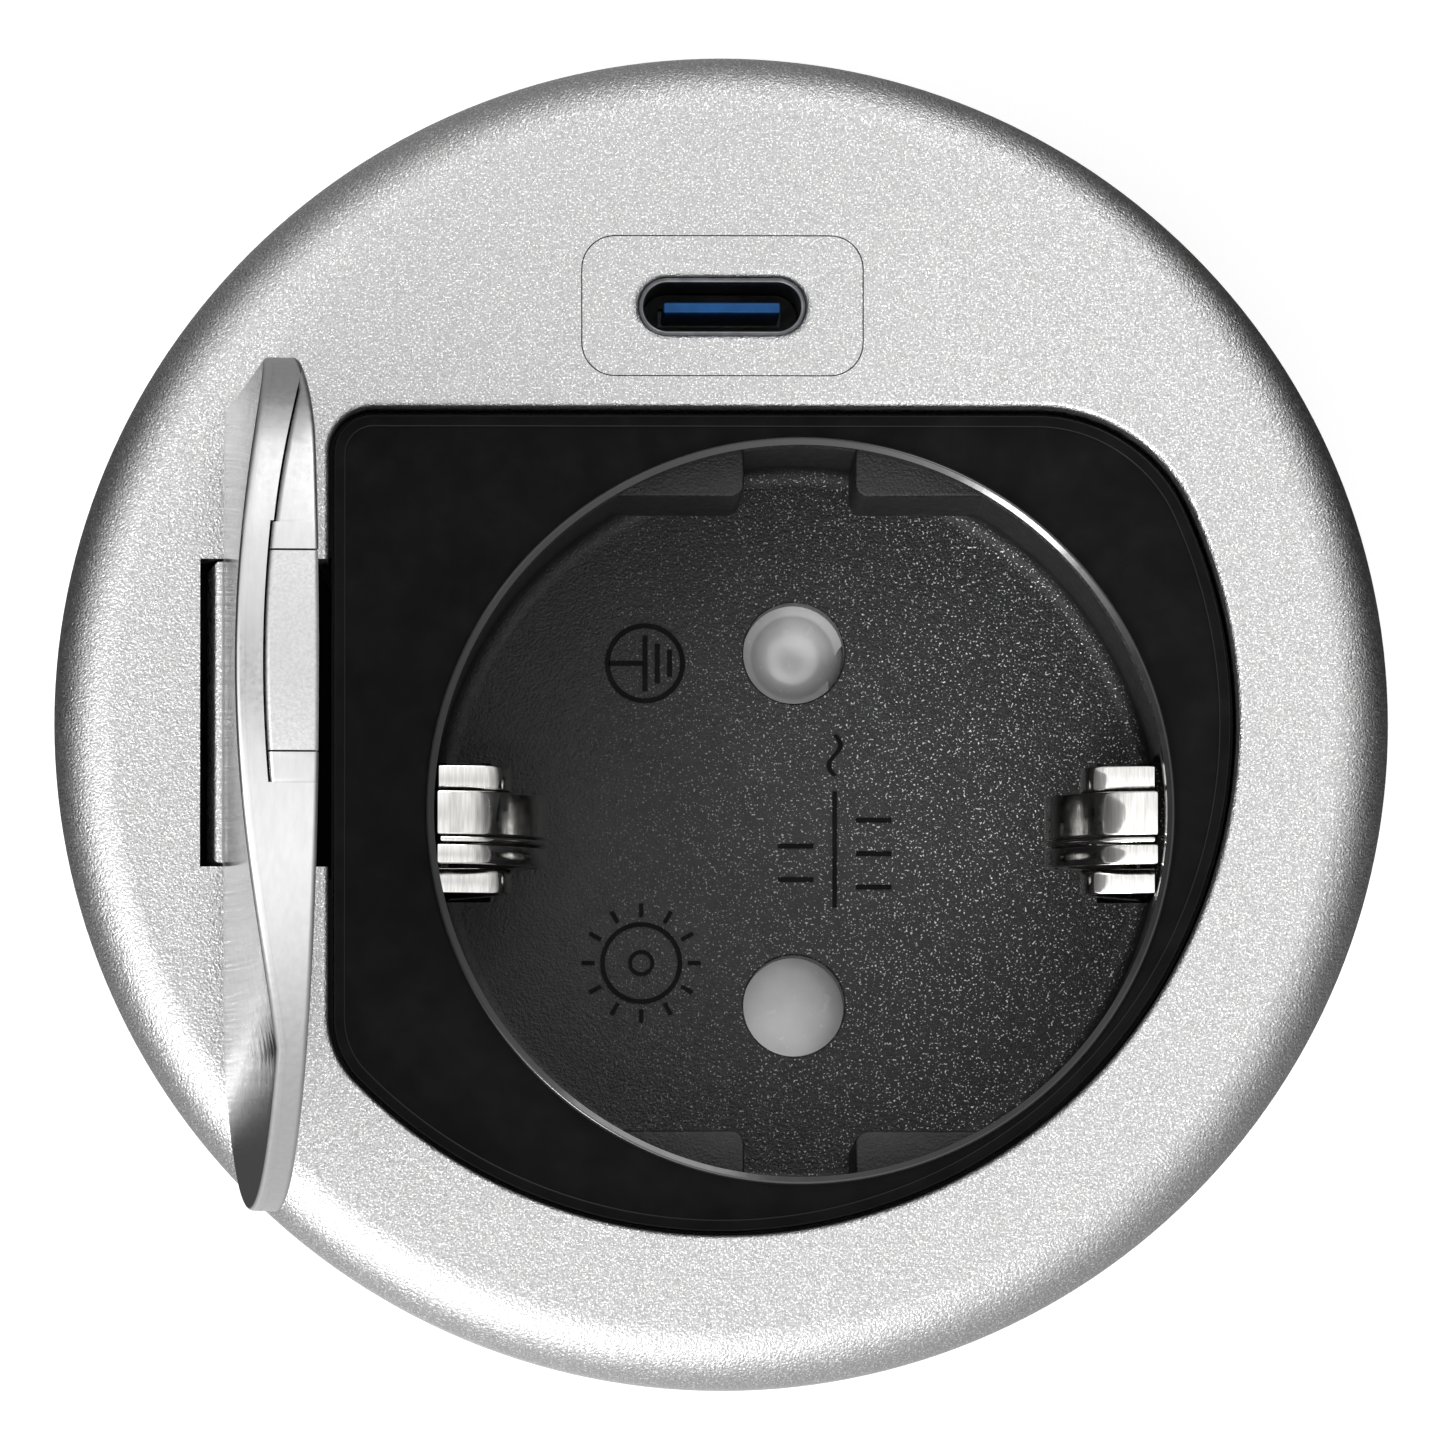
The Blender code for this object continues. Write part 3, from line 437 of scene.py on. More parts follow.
def silver_paint():
    """Fine-grained metallic paint: small bright flakes over a soft orange peel."""
    m = Nodes("silver_paint", (0.53, 0.53, 0.53), 0.29, metallic=1.0)
    m.vary_color(m.noise(0.12, detail=3.0, rough=0.7), 0.80, 1.18)
    m.flecks(0.11, 0.09, (1.0, 1.0, 1.0))
    m.vary_roughness(m.noise(0.5), 0.25, 0.33)
    m.bump(m.noise(0.13, detail=2.0, rough=0.6), 0.065)
    m.bump(m.noise(2.5, detail=1.0), 0.02, 0.4)
    return m.material


def satin_metal():
    """Lid metal, drawn along the hinge: nearly a mirror outside, satin on its rim and by the hinge."""
    m = Nodes("satin_metal", (0.60, 0.60, 0.60), 0.16, metallic=1.0)
    streaks = m.noise(0.35, detail=3.0, rough=0.6, place=m.stretched((1.0, 0.06, 1.0)))
    m.vary_color(streaks, 0.95, 1.04)
    outside = m.spread(m.noise(0.8), 0.11, 0.17)
    satin = m.spread(m.noise(0.3, detail=3.0), 0.30, 0.42)
    mix = m.add("Mix", {"Factor": m.attribute("rim"), "A": outside, "B": satin}, data_type="FLOAT")
    inputs = {0: m.attribute("near_hinge"), 1: 0.35, 2: mix.outputs["Result"]}
    m.finish("Roughness", m.add("Math", inputs, operation="MULTIPLY_ADD").outputs[0])
    m.bump(streaks, 0.0015)
    m.bump(m.noise(0.12), 0.002)
    m.bump(m.noise(6.0, detail=1.0), 0.012, 0.3)
    return m.material


def catch_plastic():
    m = Nodes("grained_plastic", (0.62, 0.62, 0.62), 0.42, metallic=0.75)
    m.vary_color(m.noise(0.16, detail=3.0, rough=0.7), 0.85, 1.1)
    m.bump(m.noise(0.22), 0.02)
    return m.material


def zinc_steel():
    m = Nodes("zinc_steel", (0.55, 0.56, 0.58), 0.3, metallic=1.0)
    m.vary_color(m.noise(1.4, detail=5.0, rough=0.65), 0.82, 1.12)
    m.vary_roughness(m.noise(0.6, detail=3.0), 0.22, 0.4)
    m.bump(m.noise(0.15), 0.003)
    return m.material


def black_polish():
    """The well's lip: a polished mould surface."""
    m = Nodes("black_plastic_polished", (0.008, 0.008, 0.0085), 0.12, specular=0.6)
    m.finish("IOR", 1.6)
    m.vary_color(m.noise(1.0), 0.8, 1.2)
    m.vary_roughness(m.noise(0.8), 0.10, 0.2)
    m.bump(m.noise(0.5), 0.002)
    return m.material


def spark_grain():
    """Spark-eroded mould grain; its metallic flecks on the well floor are painted stronger towards +X, a
    painted highlight on the lit side and painted shade on the left side, which the key light does not reach.
    """
    m = Nodes("black_plastic_spark_grain", (0.011, 0.011, 0.0115), 0.42, specular=0.5)
    m.vary_color(m.noise(1.6, detail=4.0), 0.75, 1.3)
    place = m.add("SeparateXYZ", {0: m.place}).outputs
    # Painted light: the flecks fade from +X towards -X, standing in for the key light on the right of the
    # floor and the shade at the left.
    painted_light_across = m.spread(place["X"], 0.0, 1.0, (WELL.x - 13.0) * MM, (WELL.x + 9.0) * MM)
    at_floor = m.spread(place["Z"], 1.0, 0.0, (WELL_FLOOR + 0.2) * MM, (WELL_FLOOR + 0.6) * MM)
    glitter_and_painted_light = m.flecks(0.11, 0.14, (0.75, 0.75, 0.75), m.times(painted_light_across, at_floor))
    m.finish("Metallic", glitter_and_painted_light)
    m.vary_roughness(m.noise(0.5), 0.36, 0.48)
    m.bump(m.noise(0.15, detail=3.0, rough=0.6), 0.07)
    return m.material


def shutter_plastic():
    m = Nodes("pale_plastic", (0.92, 0.92, 0.92), 0.22, specular=1.0)
    m.finish("IOR", 1.6)
    m.finish("Coat Weight", 1.0)
    m.finish("Coat Roughness", 0.15)
    m.vary_color(m.noise(1.5, detail=3.0), 0.93, 1.05)
    m.vary_roughness(m.noise(0.7), 0.18, 0.28)
    m.bump(m.noise(0.3), 0.004)
    return m.material


def nickel():
    m = Nodes("nickel_strip", (0.78, 0.77, 0.75), 0.10, metallic=1.0)
    streaks = m.noise(0.12, detail=3.0, place=m.stretched((1.0, 0.08, 1.0)))
    m.vary_color(streaks, 0.85, 1.08)
    m.vary_roughness(m.noise(0.6), 0.06, 0.16)
    m.bump(streaks, 0.0012)
    return m.material


def circuit_green():
    """Solder mask over faint tracks."""
    m = Nodes("circuit_board", (0.015, 0.14, 0.05), 0.35, specular=0.5)
    tracks = m.noise(2.2, detail=1.0, place=m.stretched((1.0, 1.0, 0.15)))
    m.vary_color(tracks, 0.7, 1.3)
    m.bump(tracks, 0.03)
    return m.material


def simple(name, color, roughness, tint, rough, relief, **surface):
    """A finish whose tint and roughness wander over a fine relief.

    tint and rough are a noise size, its detail and two limits; relief is a noise size and a height.
    """
    m = Nodes(name, color, roughness, **surface)
    size, detail, dark, light = tint
    m.vary_color(m.noise(size, detail), dark, light)
    if rough:
        size, detail, low, high = rough
        m.vary_roughness(m.noise(size, detail), low, high)
    size, height = relief
    m.bump(m.noise(size), height)
    return m.material


def hidden_part(name, color, roughness=0.5, relief=(0.3, 0.01), metallic=0.0):
    tint = (2.0, 4.0, 0.85, 1.12)
    rough = (0.9, 2.0, roughness - 0.08, roughness + 0.08)
    return simple(name, color, roughness, tint, rough, relief, metallic=metallic, specular=0.35)


LOOKS = {
    "paint": silver_paint(),
    "satin": satin_metal(),
    "gloss": simple("black_plastic_smooth", (0.005, 0.005, 0.0055), 0.16, (3.0, 2.0, 0.8, 1.2),
                    (1.4, 4.0, 0.13, 0.20), (0.4, 0.0015), specular=0.22),
    "polish": black_polish(),
    "grain": spark_grain(),
    "black": simple("black_plastic_case", (0.014, 0.014, 0.0145), 0.45, (2.0, 4.0, 0.75, 1.3),
                    (0.8, 3.0, 0.38, 0.52), (0.5, 0.02), specular=0.4),
    "catch": catch_plastic(),
    "pale": shutter_plastic(),
    "nickel": nickel(),
    "steel": zinc_steel(),
    "usb_steel": simple("usb_shell_steel", (0.20, 0.20, 0.21), 0.3, (0.5, 3.0, 0.8, 1.2), None,
                        (0.2, 0.002), metallic=1.0),
    "blue": simple("usb_blue", (0.006, 0.075, 0.24), 0.28, (0.8, 2.0, 0.85, 1.15), None,
                   (0.15, 0.003), specular=0.3),
    "brass": simple("brass", (0.72, 0.52, 0.22), 0.25, (1.0, 4.0, 0.8, 1.1), None,
                    (0.2, 0.003), metallic=1.0),
    "board": circuit_green(),
    "grey": hidden_part("grey_plastic", (0.28, 0.28, 0.29)),
    "rubber": hidden_part("black_rubber", (0.02, 0.02, 0.02), 0.8, (0.4, 0.02)),
    "dark": hidden_part("dark_component", (0.02, 0.02, 0.022), 0.4),
    "can": hidden_part("capacitor_can", (0.5, 0.5, 0.52), 0.3, (0.3, 0.003), metallic=1.0),
    "brown": hidden_part("brown_lead", (0.14, 0.05, 0.02), 0.4, (0.4, 0.005)),
    "blue_lead": hidden_part("blue_lead", (0.02, 0.06, 0.30), 0.4, (0.4, 0.005)),
}


# ---- flange and plate

def make_bezel():
    edge = arc(FLANGE_R - FLANGE_EDGE_R, FLANGE_TOP - FLANGE_EDGE_R, FLANGE_EDGE_R, 90.0, 0.0, 18)
    foot = [(FLANGE_R, 0.12), (FLANGE_R - 0.12, 0.0)]
    groove = [(34.0, 0.0), (34.0, 0.9), (31.2, 0.9), (31.2, 0.0)]
    flange = turned("flange", edge + foot + groove, steps=224)
    slot = box_outline(SLOT_LEFT, OPENING_LEFT + 2.0, SLOT_LOW_Y, SLOT_HIGH_Y)
    combine(flange, [
        prism("opening", opening_outline(0.0), -1.0, ABOVE),
        prism("slot", slot, -1.0, ABOVE),
    ])
    top = at_height(FLANGE_TOP)
    inside = FLANGE_R - FLANGE_EDGE_R - 0.5
    in_slot = lambda p: p.x < OPENING_LEFT - 0.4
    at_rim = lambda a, b: top(a, b) and a.xy.length < inside and b.xy.length < inside
    round_edges(flange, lambda a, b: at_rim(a, b) and not (in_slot(a) or in_slot(b)), 0.34, 4)
    width, height = PLATE_SIZE
    recess = rounded_rect(0.0, USB_Y, width + 0.08, height + 0.08, PLATE_CORNER_R + 0.04)
    sweep = circle(HINGE.x, HINGE.z, KNUCKLE_SWEEP_R, 64)
    pin_bore = circle(HINGE.x, HINGE.z, HINGE_BORE_R, 24)
    combine(flange, [
        bar_along_y("sweep", sweep, SLOT_LOW_Y, SLOT_HIGH_Y),
        bar_along_y("pin_bore", pin_bore, SLOT_LOW_Y - 3.6, SLOT_HIGH_Y + 3.6),
        prism("plate_recess", recess, -1.0, ABOVE),
    ])
    show(flange, "body", "silver_paint", "paint", "bezel")

    inner_r = COLLAR_R - 1.65
    profile = [(COLLAR_R, 0.3), (COLLAR_R, COLLAR_END + 0.3), (COLLAR_R - 0.3, COLLAR_END)]
    profile += [(inner_r, COLLAR_END), (inner_r, 0.3)]
    collar = turned("collar", profile, steps=192, closed=True)
    combine(collar, [bar_along_y("sweep", sweep, SLOT_LOW_Y, SLOT_HIGH_Y)])
    show(collar, "body", "black_plastic", "black")
    show(make_thread(), "body", "black_plastic", "black")


def make_thread():
    """The collar's thread: a rounded ridge that climbs round it at the nut's pitch."""
    low = COLLAR_END + 1.6
    root = COLLAR_R - 0.25
    turns = (-2.2 - low) / THREAD_PITCH
    rings = []
    for i in range(int(turns * THREAD_STEPS) + 1):
        turn = i / THREAD_STEPS
        angle = 2 * math.pi * turn
        z = low + THREAD_PITCH * turn
        fade = min(1.0, turn * 4.0, (turns - turn) * 4.0)
        crest = COLLAR_R + 0.05 + THREAD_RISE * max(fade, 0.05)
        profile = ((root, z - 0.75), (crest, z - 0.22), (crest, z + 0.22), (root, z + 0.75))
        rings.append([(r * math.cos(angle), r * math.sin(angle), height) for r, height in profile])
    return loft("collar_thread", rings)


def port_flare():
    """A cutter for the port whose mouth opens in a rounded flare."""
    width, height, corner = 8.96, 3.18, 1.585
    flare = 0.36
    depth = 0.27
    rings = [(0.0, -3.0), (0.0, FLANGE_TOP - 0.9)]
    turn = math.radians(62.0)
    for i in range(9):
        angle = turn * i / 8
        out = flare * (1.0 - math.cos(angle)) / (1.0 - math.cos(turn))
        rings.append((out, FLANGE_TOP - depth * (1.0 - math.sin(angle) / math.sin(turn)) + 0.001))
    rings.append((flare, ABOVE))
    lofted = []
    for extra, z in rings:
        outline = rounded_rect(0.0, USB_Y, width + 2 * extra, height + 2 * extra, corner + extra, 16)
        lofted.append([(x, y, z) for x, y in outline])
    return loft("port_flare", lofted)


def make_usb():
    width, height = PLATE_SIZE
    plate = prism("usb_plate", rounded_rect(0.0, USB_Y, width, height, PLATE_CORNER_R), -1.0, FLANGE_TOP)
    foot = rounded_rect(0.0, USB_Y, width + 2.4, height + 0.9, PLATE_CORNER_R)
    combine(plate, [prism("foot", foot, PLATE_LOW.z, -GAP)], "UNION")
    round_edges(plate, at_height(FLANGE_TOP), 0.07, 2)
    combine(plate, [port_flare()])
    show(plate, "body", "silver_paint", "paint", "usb_face_plate")

    outer = rounded_rect(0.0, USB_Y, 8.94, 3.16, 1.57, 16)
    mouth = rounded_rect(0.0, USB_Y, 8.34, 2.56, 1.27, 16)
    shell_top = FLANGE_TOP - 0.75
    shell = prism("usb_port_shell", outer, SHELL_BOTTOM, shell_top)
    combine(shell, [prism("mouth", mouth, SHELL_BOTTOM + 0.6, 9.0)])
    round_edges(shell, at_height(shell_top), 0.12, 3)
    show(shell, "body", "zinc_steel", "usb_steel", "usb_shell")

    blade = box_outline(-3.1, 3.1, USB_Y - 0.28, USB_Y + 0.28)
    tongue = prism("usb_port_tongue", blade, TONGUE_LOW.z, TONGUE_HIGH.z)
    round_edges(tongue, lambda a, b: True, 0.1, 3)
    show(tongue, "body", "usb_blue", "blue", "usb_tongue")
    inner = rounded_rect(0.0, USB_Y, 8.2, 2.42, 1.2, 12)
    room = box_outline(-3.3, 3.3, USB_Y - 0.5, USB_Y + 0.5)
    port_floor = prism("usb_port_floor", inner, SHELL_BOTTOM + 0.9, -4.2)
    combine(port_floor, [prism("tongue_room", room, -9.0, 0.0)])
    show(port_floor, "body", "black_plastic", "black")


# ---- lid

def lid_arch(u, v):
    """How far the outer face rises above the flange at u from the hinge axis and v along it."""
    start = OPENING_LEFT - HINGE.x
    share = (u - start) / (OPENING_R - HINGE.x - start)
    painted_light_across = 1.0 - (v / LID_ARCH_HALF_WIDTH) ** 2
    if share <= 0.0 or painted_light_across <= 0.0:
        return 0.0
    return LID_ARCH * share**1.3 * painted_light_across


def lid_top(u, v):
    return LID_FLUSH + lid_arch(u, v)


def hinge_lean(u, w):
    """The lid's edge beside the hinge leans in, so that it clears the flange as it swings."""
    edge = OPENING_LEFT - HINGE.x + GAP
    depth = min(1.0, max(0.3, (LID_FLUSH - w) / (LID_FLUSH - LID_UNDER)))
    return u + LID_LEAN * depth * max(0.0, 1.0 - max(0.0, u - edge) / LID_LEAN_REACH)


def lid_blank(name, under, drop, inset):
    """The whole lid under its arched outer face, lowered by drop(v), with its rim inset from the opening."""
    rounding = 0.28
    steps = 5
    centre = Vector((27.0, 0.0))
    base = lambda u, v: under + TIP_RISE * max(0.0, (v - TIP_START) / (OPENING_TOP - TIP_START)) ** 2
    top = lambda u, v: max(lid_top(u, v) - drop(v), base(u, v) + 2 * rounding + 0.02)

    def ring(extra, height, share=0.0):
        points = []
        for x, y in opening_outline(inset + extra + ARC_SAG):
            p = Vector((x - HINGE.x, y)).lerp(centre, share)
            w = height(p.x, p.y)
            points.append((hinge_lean(p.x, w), p.y, w))
        return points

    rings = [ring(rounding, base, 0.9 - 0.1 * i) for i in range(9)]
    quarter = [math.pi / 2 * i / steps for i in range(steps + 1)]
    for angle in quarter:
        rise = rounding * (1 - math.cos(angle))
        rings.append(ring(rounding * (1 - math.sin(angle)), lambda u, v: base(u, v) + rise))
    for angle in quarter:
        fall = rounding * (1 - math.sin(angle))
        rings.append(ring(rounding * (1 - math.cos(angle)), lambda u, v: top(u, v) - fall))
    for i in range(1, 20):
        rings.append(ring(rounding, top, i / 20))
    return loft(name, rings)


def lid_part(name, under, drop, inset, u0, v0, v1):
    """The part of such a blank beyond u0 and between two places along the hinge."""
    plan = prism("plan", box_outline(u0, 60.0, v0, v1), -3.0, 9.0)
    return combine(lid_blank(name, under, drop, inset), [plan], "INTERSECT")


def rim_groove():
    """A fine parting line round the lid's rim, just under its outer face."""
    rings = []
    for inset, drop in ((-0.2, 0.50), (0.36, 0.50), (0.36, 0.55), (-0.2, 0.55)):
        outline = [(x - HINGE.x, y) for x, y in opening_outline(inset)]
        rings.append([(hinge_lean(u, LID_FLUSH), v, lid_top(u, v) - drop) for u, v in outline])
    return loft("rim_groove", rings, closed=True)


def mark_rim(obj):
    """Marks the satin faces of a lid drawn shut, and how near to the hinge each point is."""
    flags = obj.data.attributes.new("rim", "FLOAT", "FACE")
    for face in obj.data.polygons:
        flags.data[face.index].value = 0.0 if face.normal.z > 0.72 else 1.0
    near = obj.data.attributes.new("near_hinge", "FLOAT", "POINT")
    for vertex in obj.data.vertices:
        fade = 1.0 - (vertex.co.x / MM - HINGE_SATIN) / HINGE_SATIN_FADE
        near.data[vertex.index].value = min(1.0, max(0.0, fade))
    return obj


def swing_open(obj):
    """Turns a piece drawn shut about the hinge axis to where the lid stands open."""
    turn = Matrix.Rotation(-math.radians(LID_OPEN_DEG), 4, "Y")
    axis = Vector((HINGE.x, 0.0, HINGE.z)) * MM
    obj.data.transform(Matrix.Translation(axis) @ turn)
    return obj


def thin_skin(v):
    """The outer skin's thickness beside the catch."""
    return 1.45


def full_skin(v):
    """The outer skin's thickness above the step, where the filler tapers to the lid's tip."""
    return 1.62 + 0.45 * ((v - FILLER_STEP) / 9.1) ** 2


def make_lid():
    cover = lid_blank("lid_outer", LID_UNDER, lambda v: 0.0, GAP)
    tab_y0, tab_y1 = SLOT_LOW_Y + 0.15, SLOT_HIGH_Y - 0.15
    tab_u0 = SLOT_LEFT - HINGE.x + 0.2
    tab = prism("tab", box_outline(tab_u0, 6.0, tab_y0, tab_y1), LID_UNDER + 0.01, LID_FLUSH - 0.01)
    round_edges(tab, lambda a, b: min(a.x, b.x) < 0.0, 0.2, 3)
    knuckle = bar_along_y("knuckle", circle(0.0, 0.0, KNUCKLE_R, 40), tab_y0 + 0.1, tab_y1 - 0.1)
    combine(cover, [tab, knuckle], "UNION")
    bore = bar_along_y("bore", circle(0.0, 0.0, HINGE_BORE_R, 24), tab_y0 - 1.0, tab_y1 + 1.0)
    low_room = lid_part("low_room", -2.0, thin_skin, -0.8, FILLER_START, FILLER_LOW, FILLER_STEP)
    high_room = lid_part("high_room", -2.0, full_skin, -0.8, FILLER_START, FILLER_STEP - 0.01, LID_END)
    combine(cover, [bore, low_room, high_room, rim_groove()])
    show(swing_open(mark_rim(cover)), "lid", "satin_metal", "satin", "lid_cover")
    plate_top = LID_FLUSH + 0.38
    plate_plan = box_outline(tab_u0 + 0.15, 2.6, tab_y0 + 0.05, tab_y1 - 0.05)
    plate = prism("lid_tab_plate", plate_plan, 2.3, plate_top)
    round_edges(plate, at_height(plate_top), 0.25, 4)
    show(swing_open(plate), "lid", "silver_paint", "paint")

    start = FILLER_START + SEAM
    low_skin = lambda v: thin_skin(v) + SEAM
    high_skin = lambda v: full_skin(v) + SEAM
    step = FILLER_STEP - SEAM
    inner = lid_part("lid_filler", LID_UNDER, low_skin, GAP, start, FILLER_LOW + 0.01, step)
    upper = lid_part("upper", LID_UNDER, high_skin, GAP, start, FILLER_STEP - 0.2, LID_END)
    combine(inner, [upper], "UNION")
    rim_u = OPENING_R - GAP - HINGE.x
    room = box_outline(rim_u - 3.6, rim_u + 3.0, CATCH_LOW - 0.1, CATCH_HIGH + 0.1)
    combine(inner, [prism("catch_room", room, -3.0, 9.0)])
    show(swing_open(mark_rim(inner)), "lid", "satin_metal", "satin", "lid_inner")

    catch_skin = lambda v: thin_skin(v) + 0.11
    catch = lid_part("lid_catch_insert", LID_UNDER + 0.02, catch_skin, GAP + 0.04, rim_u - 3.5,
                     CATCH_LOW, CATCH_HIGH)
    show(swing_open(catch), "lid", "grained_plastic", "catch", "lid_catch")


# ---- socket

def make_pocket_plate():
    """The smooth black plate under the lid, with a low step round its rim, and the base that holds it."""
    plate = prism("pocket_plate", opening_outline(GAP), -1.0, POCKET_FLOOR)
    combine(plate, [prism("floor_drop", opening_outline(0.95), POCKET_FLOOR - 0.22, 9.0)])
    round_edges(plate, at_height(POCKET_FLOOR), 0.1, 2)
    base = prism("base", circle(0.0, 0.0, 27.3, 120), -3.3, -GAP)
    hinge_room = box_outline(-30.0, OPENING_LEFT + 0.2, SLOT_LOW_Y - 0.4, SLOT_HIGH_Y + 0.4)
    combine(base, [
        prism("usb_room", box_outline(-10.6, 10.6, 17.2, 30.0), -5.0, 1.0),
        prism("hinge_room", hinge_room, -5.0, 1.0),
    ])
    combine(plate, [base], "UNION")
    bore = [(WELL_R + 0.1, 9.0), (WELL_R + 0.1, -9.0)]
    combine(plate, [turned("bore", bore, WELL.x, WELL.y)])
    show(plate, "body", "black_plastic", "gloss")


def make_well():
    """The round well: wall, lip, floor, four key blocks, pin holes and the slots for the clips."""
    joint = 0.4
    fillet_r = 1.1
    wall_r = WELL_R + 0.02
    fillet = arc(wall_r - fillet_r, WELL_FLOOR + fillet_r, fillet_r, 270.0, 360.0, 8)
    outer = [(wall_r, joint), (INSERT_R, joint), (INSERT_R, INSERT_END)]
    under = [(19.7, INSERT_END), (19.7, FLOOR_UNDER), (0.4, FLOOR_UNDER)]
    well = turned("socket_well", [(0.4, WELL_FLOOR)] + fillet + outer + under, WELL.x, WELL.y, steps=200)
    for side_x in (-1, 1):
        for side_y in (-1, 1):
            combine(well, [make_rib(side_x, side_y)], "UNION")
    cutters = []
    wide = PIN_HOLE_R + 0.12
    below = FLOOR_UNDER - 1.0
    hole = [(PIN_HOLE_R, below), (PIN_HOLE_R, WELL_FLOOR - 0.1), (wide, WELL_FLOOR + 0.05)]
    hole += [(wide, WELL_FLOOR + 1.0)]
    rooms = (("clip_room", 16.3, 19.15, WELL_FLOOR + 1.0), ("wall_room", 18.6, 20.2, -1.6))
    for side in (-1, 1):
        cutters.append(turned("pin_hole", hole, WELL.x, WELL.y + side * PIN_OFFSET, steps=64))
        for name, low_x, high_x, top in rooms:
            x0, x1 = sorted((WELL.x + side * low_x, WELL.x + side * high_x))
            plan = box_outline(x0, x1, WELL.y - 3.95, WELL.y + 3.55)
            cutters.append(prism(name, plan, below, top))
    combine(well, cutters)
    show(well, "body", "black_plastic", "grain", "socket_insert")

    crest = POCKET_FLOOR + LIP_RISE
    bead = LIP_R - LIP_SLOPE_TOP_R
    slope_low = crest - LIP_SLOPE * (LIP_SLOPE_TOP_R - WELL_R)
    profile = [(LIP_R, joint)] + arc(LIP_SLOPE_TOP_R, crest - bead, bead, 0.0, 90.0, 6)
    profile += [(WELL_R, slope_low), (WELL_R, joint)]
    lip = turned("well_lip", profile, WELL.x, WELL.y, steps=224, closed=True)
    show(lip, "body", "black_plastic", "polish")
    show(make_floor_marks(), "body", "black_plastic", "gloss")


def make_rib(side_x, side_y):
    """One key block: the part of the well outside a chord, beside the middle channel."""
    half = 2.95
    chord = 16.9
    reach = WELL_R + 0.3
    end_x = math.sqrt(reach**2 - chord**2)
    start = math.degrees(math.atan2(chord, end_x))
    end = math.degrees(math.atan2(math.sqrt(reach**2 - half**2), half))
    outline = arc(0.0, 0.0, reach, start, end, 12) + arc(half + 0.7, chord + 0.7, 0.7, 180.0, 270.0, 6)
    placed = [(WELL.x + side_x * x, WELL.y + side_y * y) for x, y in outline]
    rib = prism("rib", placed, WELL_FLOOR - 0.5, POCKET_FLOOR - 2.6)
    return round_edges(rib, at_height(POCKET_FLOOR - 2.6), 0.35, 3)


def ring_mark(cx, cy, radius, width):
    inner = radius - width
    profile = [(radius, MARK_LOW), (radius, MARK_HIGH), (inner, MARK_HIGH), (inner, MARK_LOW)]
    return turned("ring_mark", profile, cx, cy, steps=64, closed=True)


def stroke(x0, y0, x1, y1, width):
    """A straight raised line with square ends."""
    a = Vector((x0, y0))
    b = Vector((x1, y1))
    side = (b - a).normalized().orthogonal() * width / 2
    outline = [a - side, b - side, b + side, a + side]
    return prism("stroke", [tuple(p) for p in outline], MARK_LOW, MARK_HIGH)


def make_floor_marks():
    """Raised moulding marks: the earth symbol, the wave and bar of a rating, and a plain mould dial."""
    ex, ey = WELL.x - 8.0, WELL.y + 8.94
    parts = [ring_mark(ex, ey, 2.15, 0.26), stroke(ex - 1.95, ey, ex - 0.12, ey, 0.26)]
    for dx, half in ((0.0, 1.5), (0.66, 1.05), (1.32, 0.72)):
        parts.append(stroke(ex + dx, ey - half, ex + dx, ey + half, 0.26))
    bx, by = WELL.x + 2.2, WELL.y
    wave = [(bx + 0.32 * math.sin(math.pi * (i / 6 - 1)), by + 2.9 + 2.2 * i / 12) for i in range(13)]
    half = 0.13
    outline = [(x - half, y) for x, y in wave] + [(x + half, y) for x, y in wave[::-1]]
    parts += [stroke(bx, by - 4.2, bx, by + 2.05, 0.24), prism("wave", outline, MARK_LOW, MARK_HIGH)]
    for dx, places in ((-2.1, (-2.7, -0.9)), (2.1, (-3.1, -1.3, 0.5))):
        for dy in places:
            parts.append(stroke(bx + dx - 0.95, by + dy, bx + dx + 0.95, by + dy, 0.26))
    mx, my = WELL.x - 8.2, WELL.y - 7.2
    parts += [ring_mark(mx, my, 2.2, 0.24), ring_mark(mx, my, 0.7, 0.2)]
    for i in range(12):
        angle = math.radians(30.0 * i)
        c, s = math.cos(angle), math.sin(angle)
        parts.append(stroke(mx + 2.5 * c, my + 2.5 * s, mx + 3.2 * c, my + 3.2 * s, 0.22))
    return merge("floor_marks", parts)


def make_shutter():
    """The child-protection plate: a domed ramp under the upper hole and a slanted one under the lower."""
    top = SHUTTER_TOP
    rim = [(13.0, top - 0.02), (13.2, top - 0.2), (13.2, top - 2.0), (12.8, top - 2.0)]
    plate = turned("shutter_plate", rim, WELL.x, WELL.y, steps=96)
    turn = math.radians(60.0)
    way = lambda radius: [(radius, top - 4.0), (radius, top + 1.0)]
    cutters = []
    for side in (-1, 1):
        x = WELL.x + side * PIN_OFFSET * math.cos(turn)
        y = WELL.y + side * PIN_OFFSET * math.sin(turn)
        cutters.append(turned("pin_way", way(PIN_HOLE_R + 0.1), x, y, steps=48))
    cutters.append(turned("pivot_way", way(2.2), WELL.x, WELL.y, steps=32))
    combine(plate, cutters)
    ramp_r = 2.78
    dome = []
    for i in range(12):
        angle = math.radians(8.0 * i)
        dome.append((ramp_r * math.cos(angle) + 0.01, top - 0.55 + 0.97 * math.sin(angle)))
    upper = turned("upper_ramp", [(ramp_r + 0.01, top - 0.6)] + dome, WELL.x, WELL.y + PIN_OFFSET, steps=64)
    disc = circle(WELL.x, WELL.y - PIN_OFFSET, ramp_r, 48)
    slanted = [(x, y, top + 0.21 - 0.2 * (x - WELL.x) / ramp_r) for x, y in disc]
    lower = loft("lower_ramp", [[(x, y, top - 0.6) for x, y in disc], slanted])
    combine(plate, [upper, lower], "UNION")
    show(plate, "shutter", "pale_plastic", "pale", "pin_shutter")


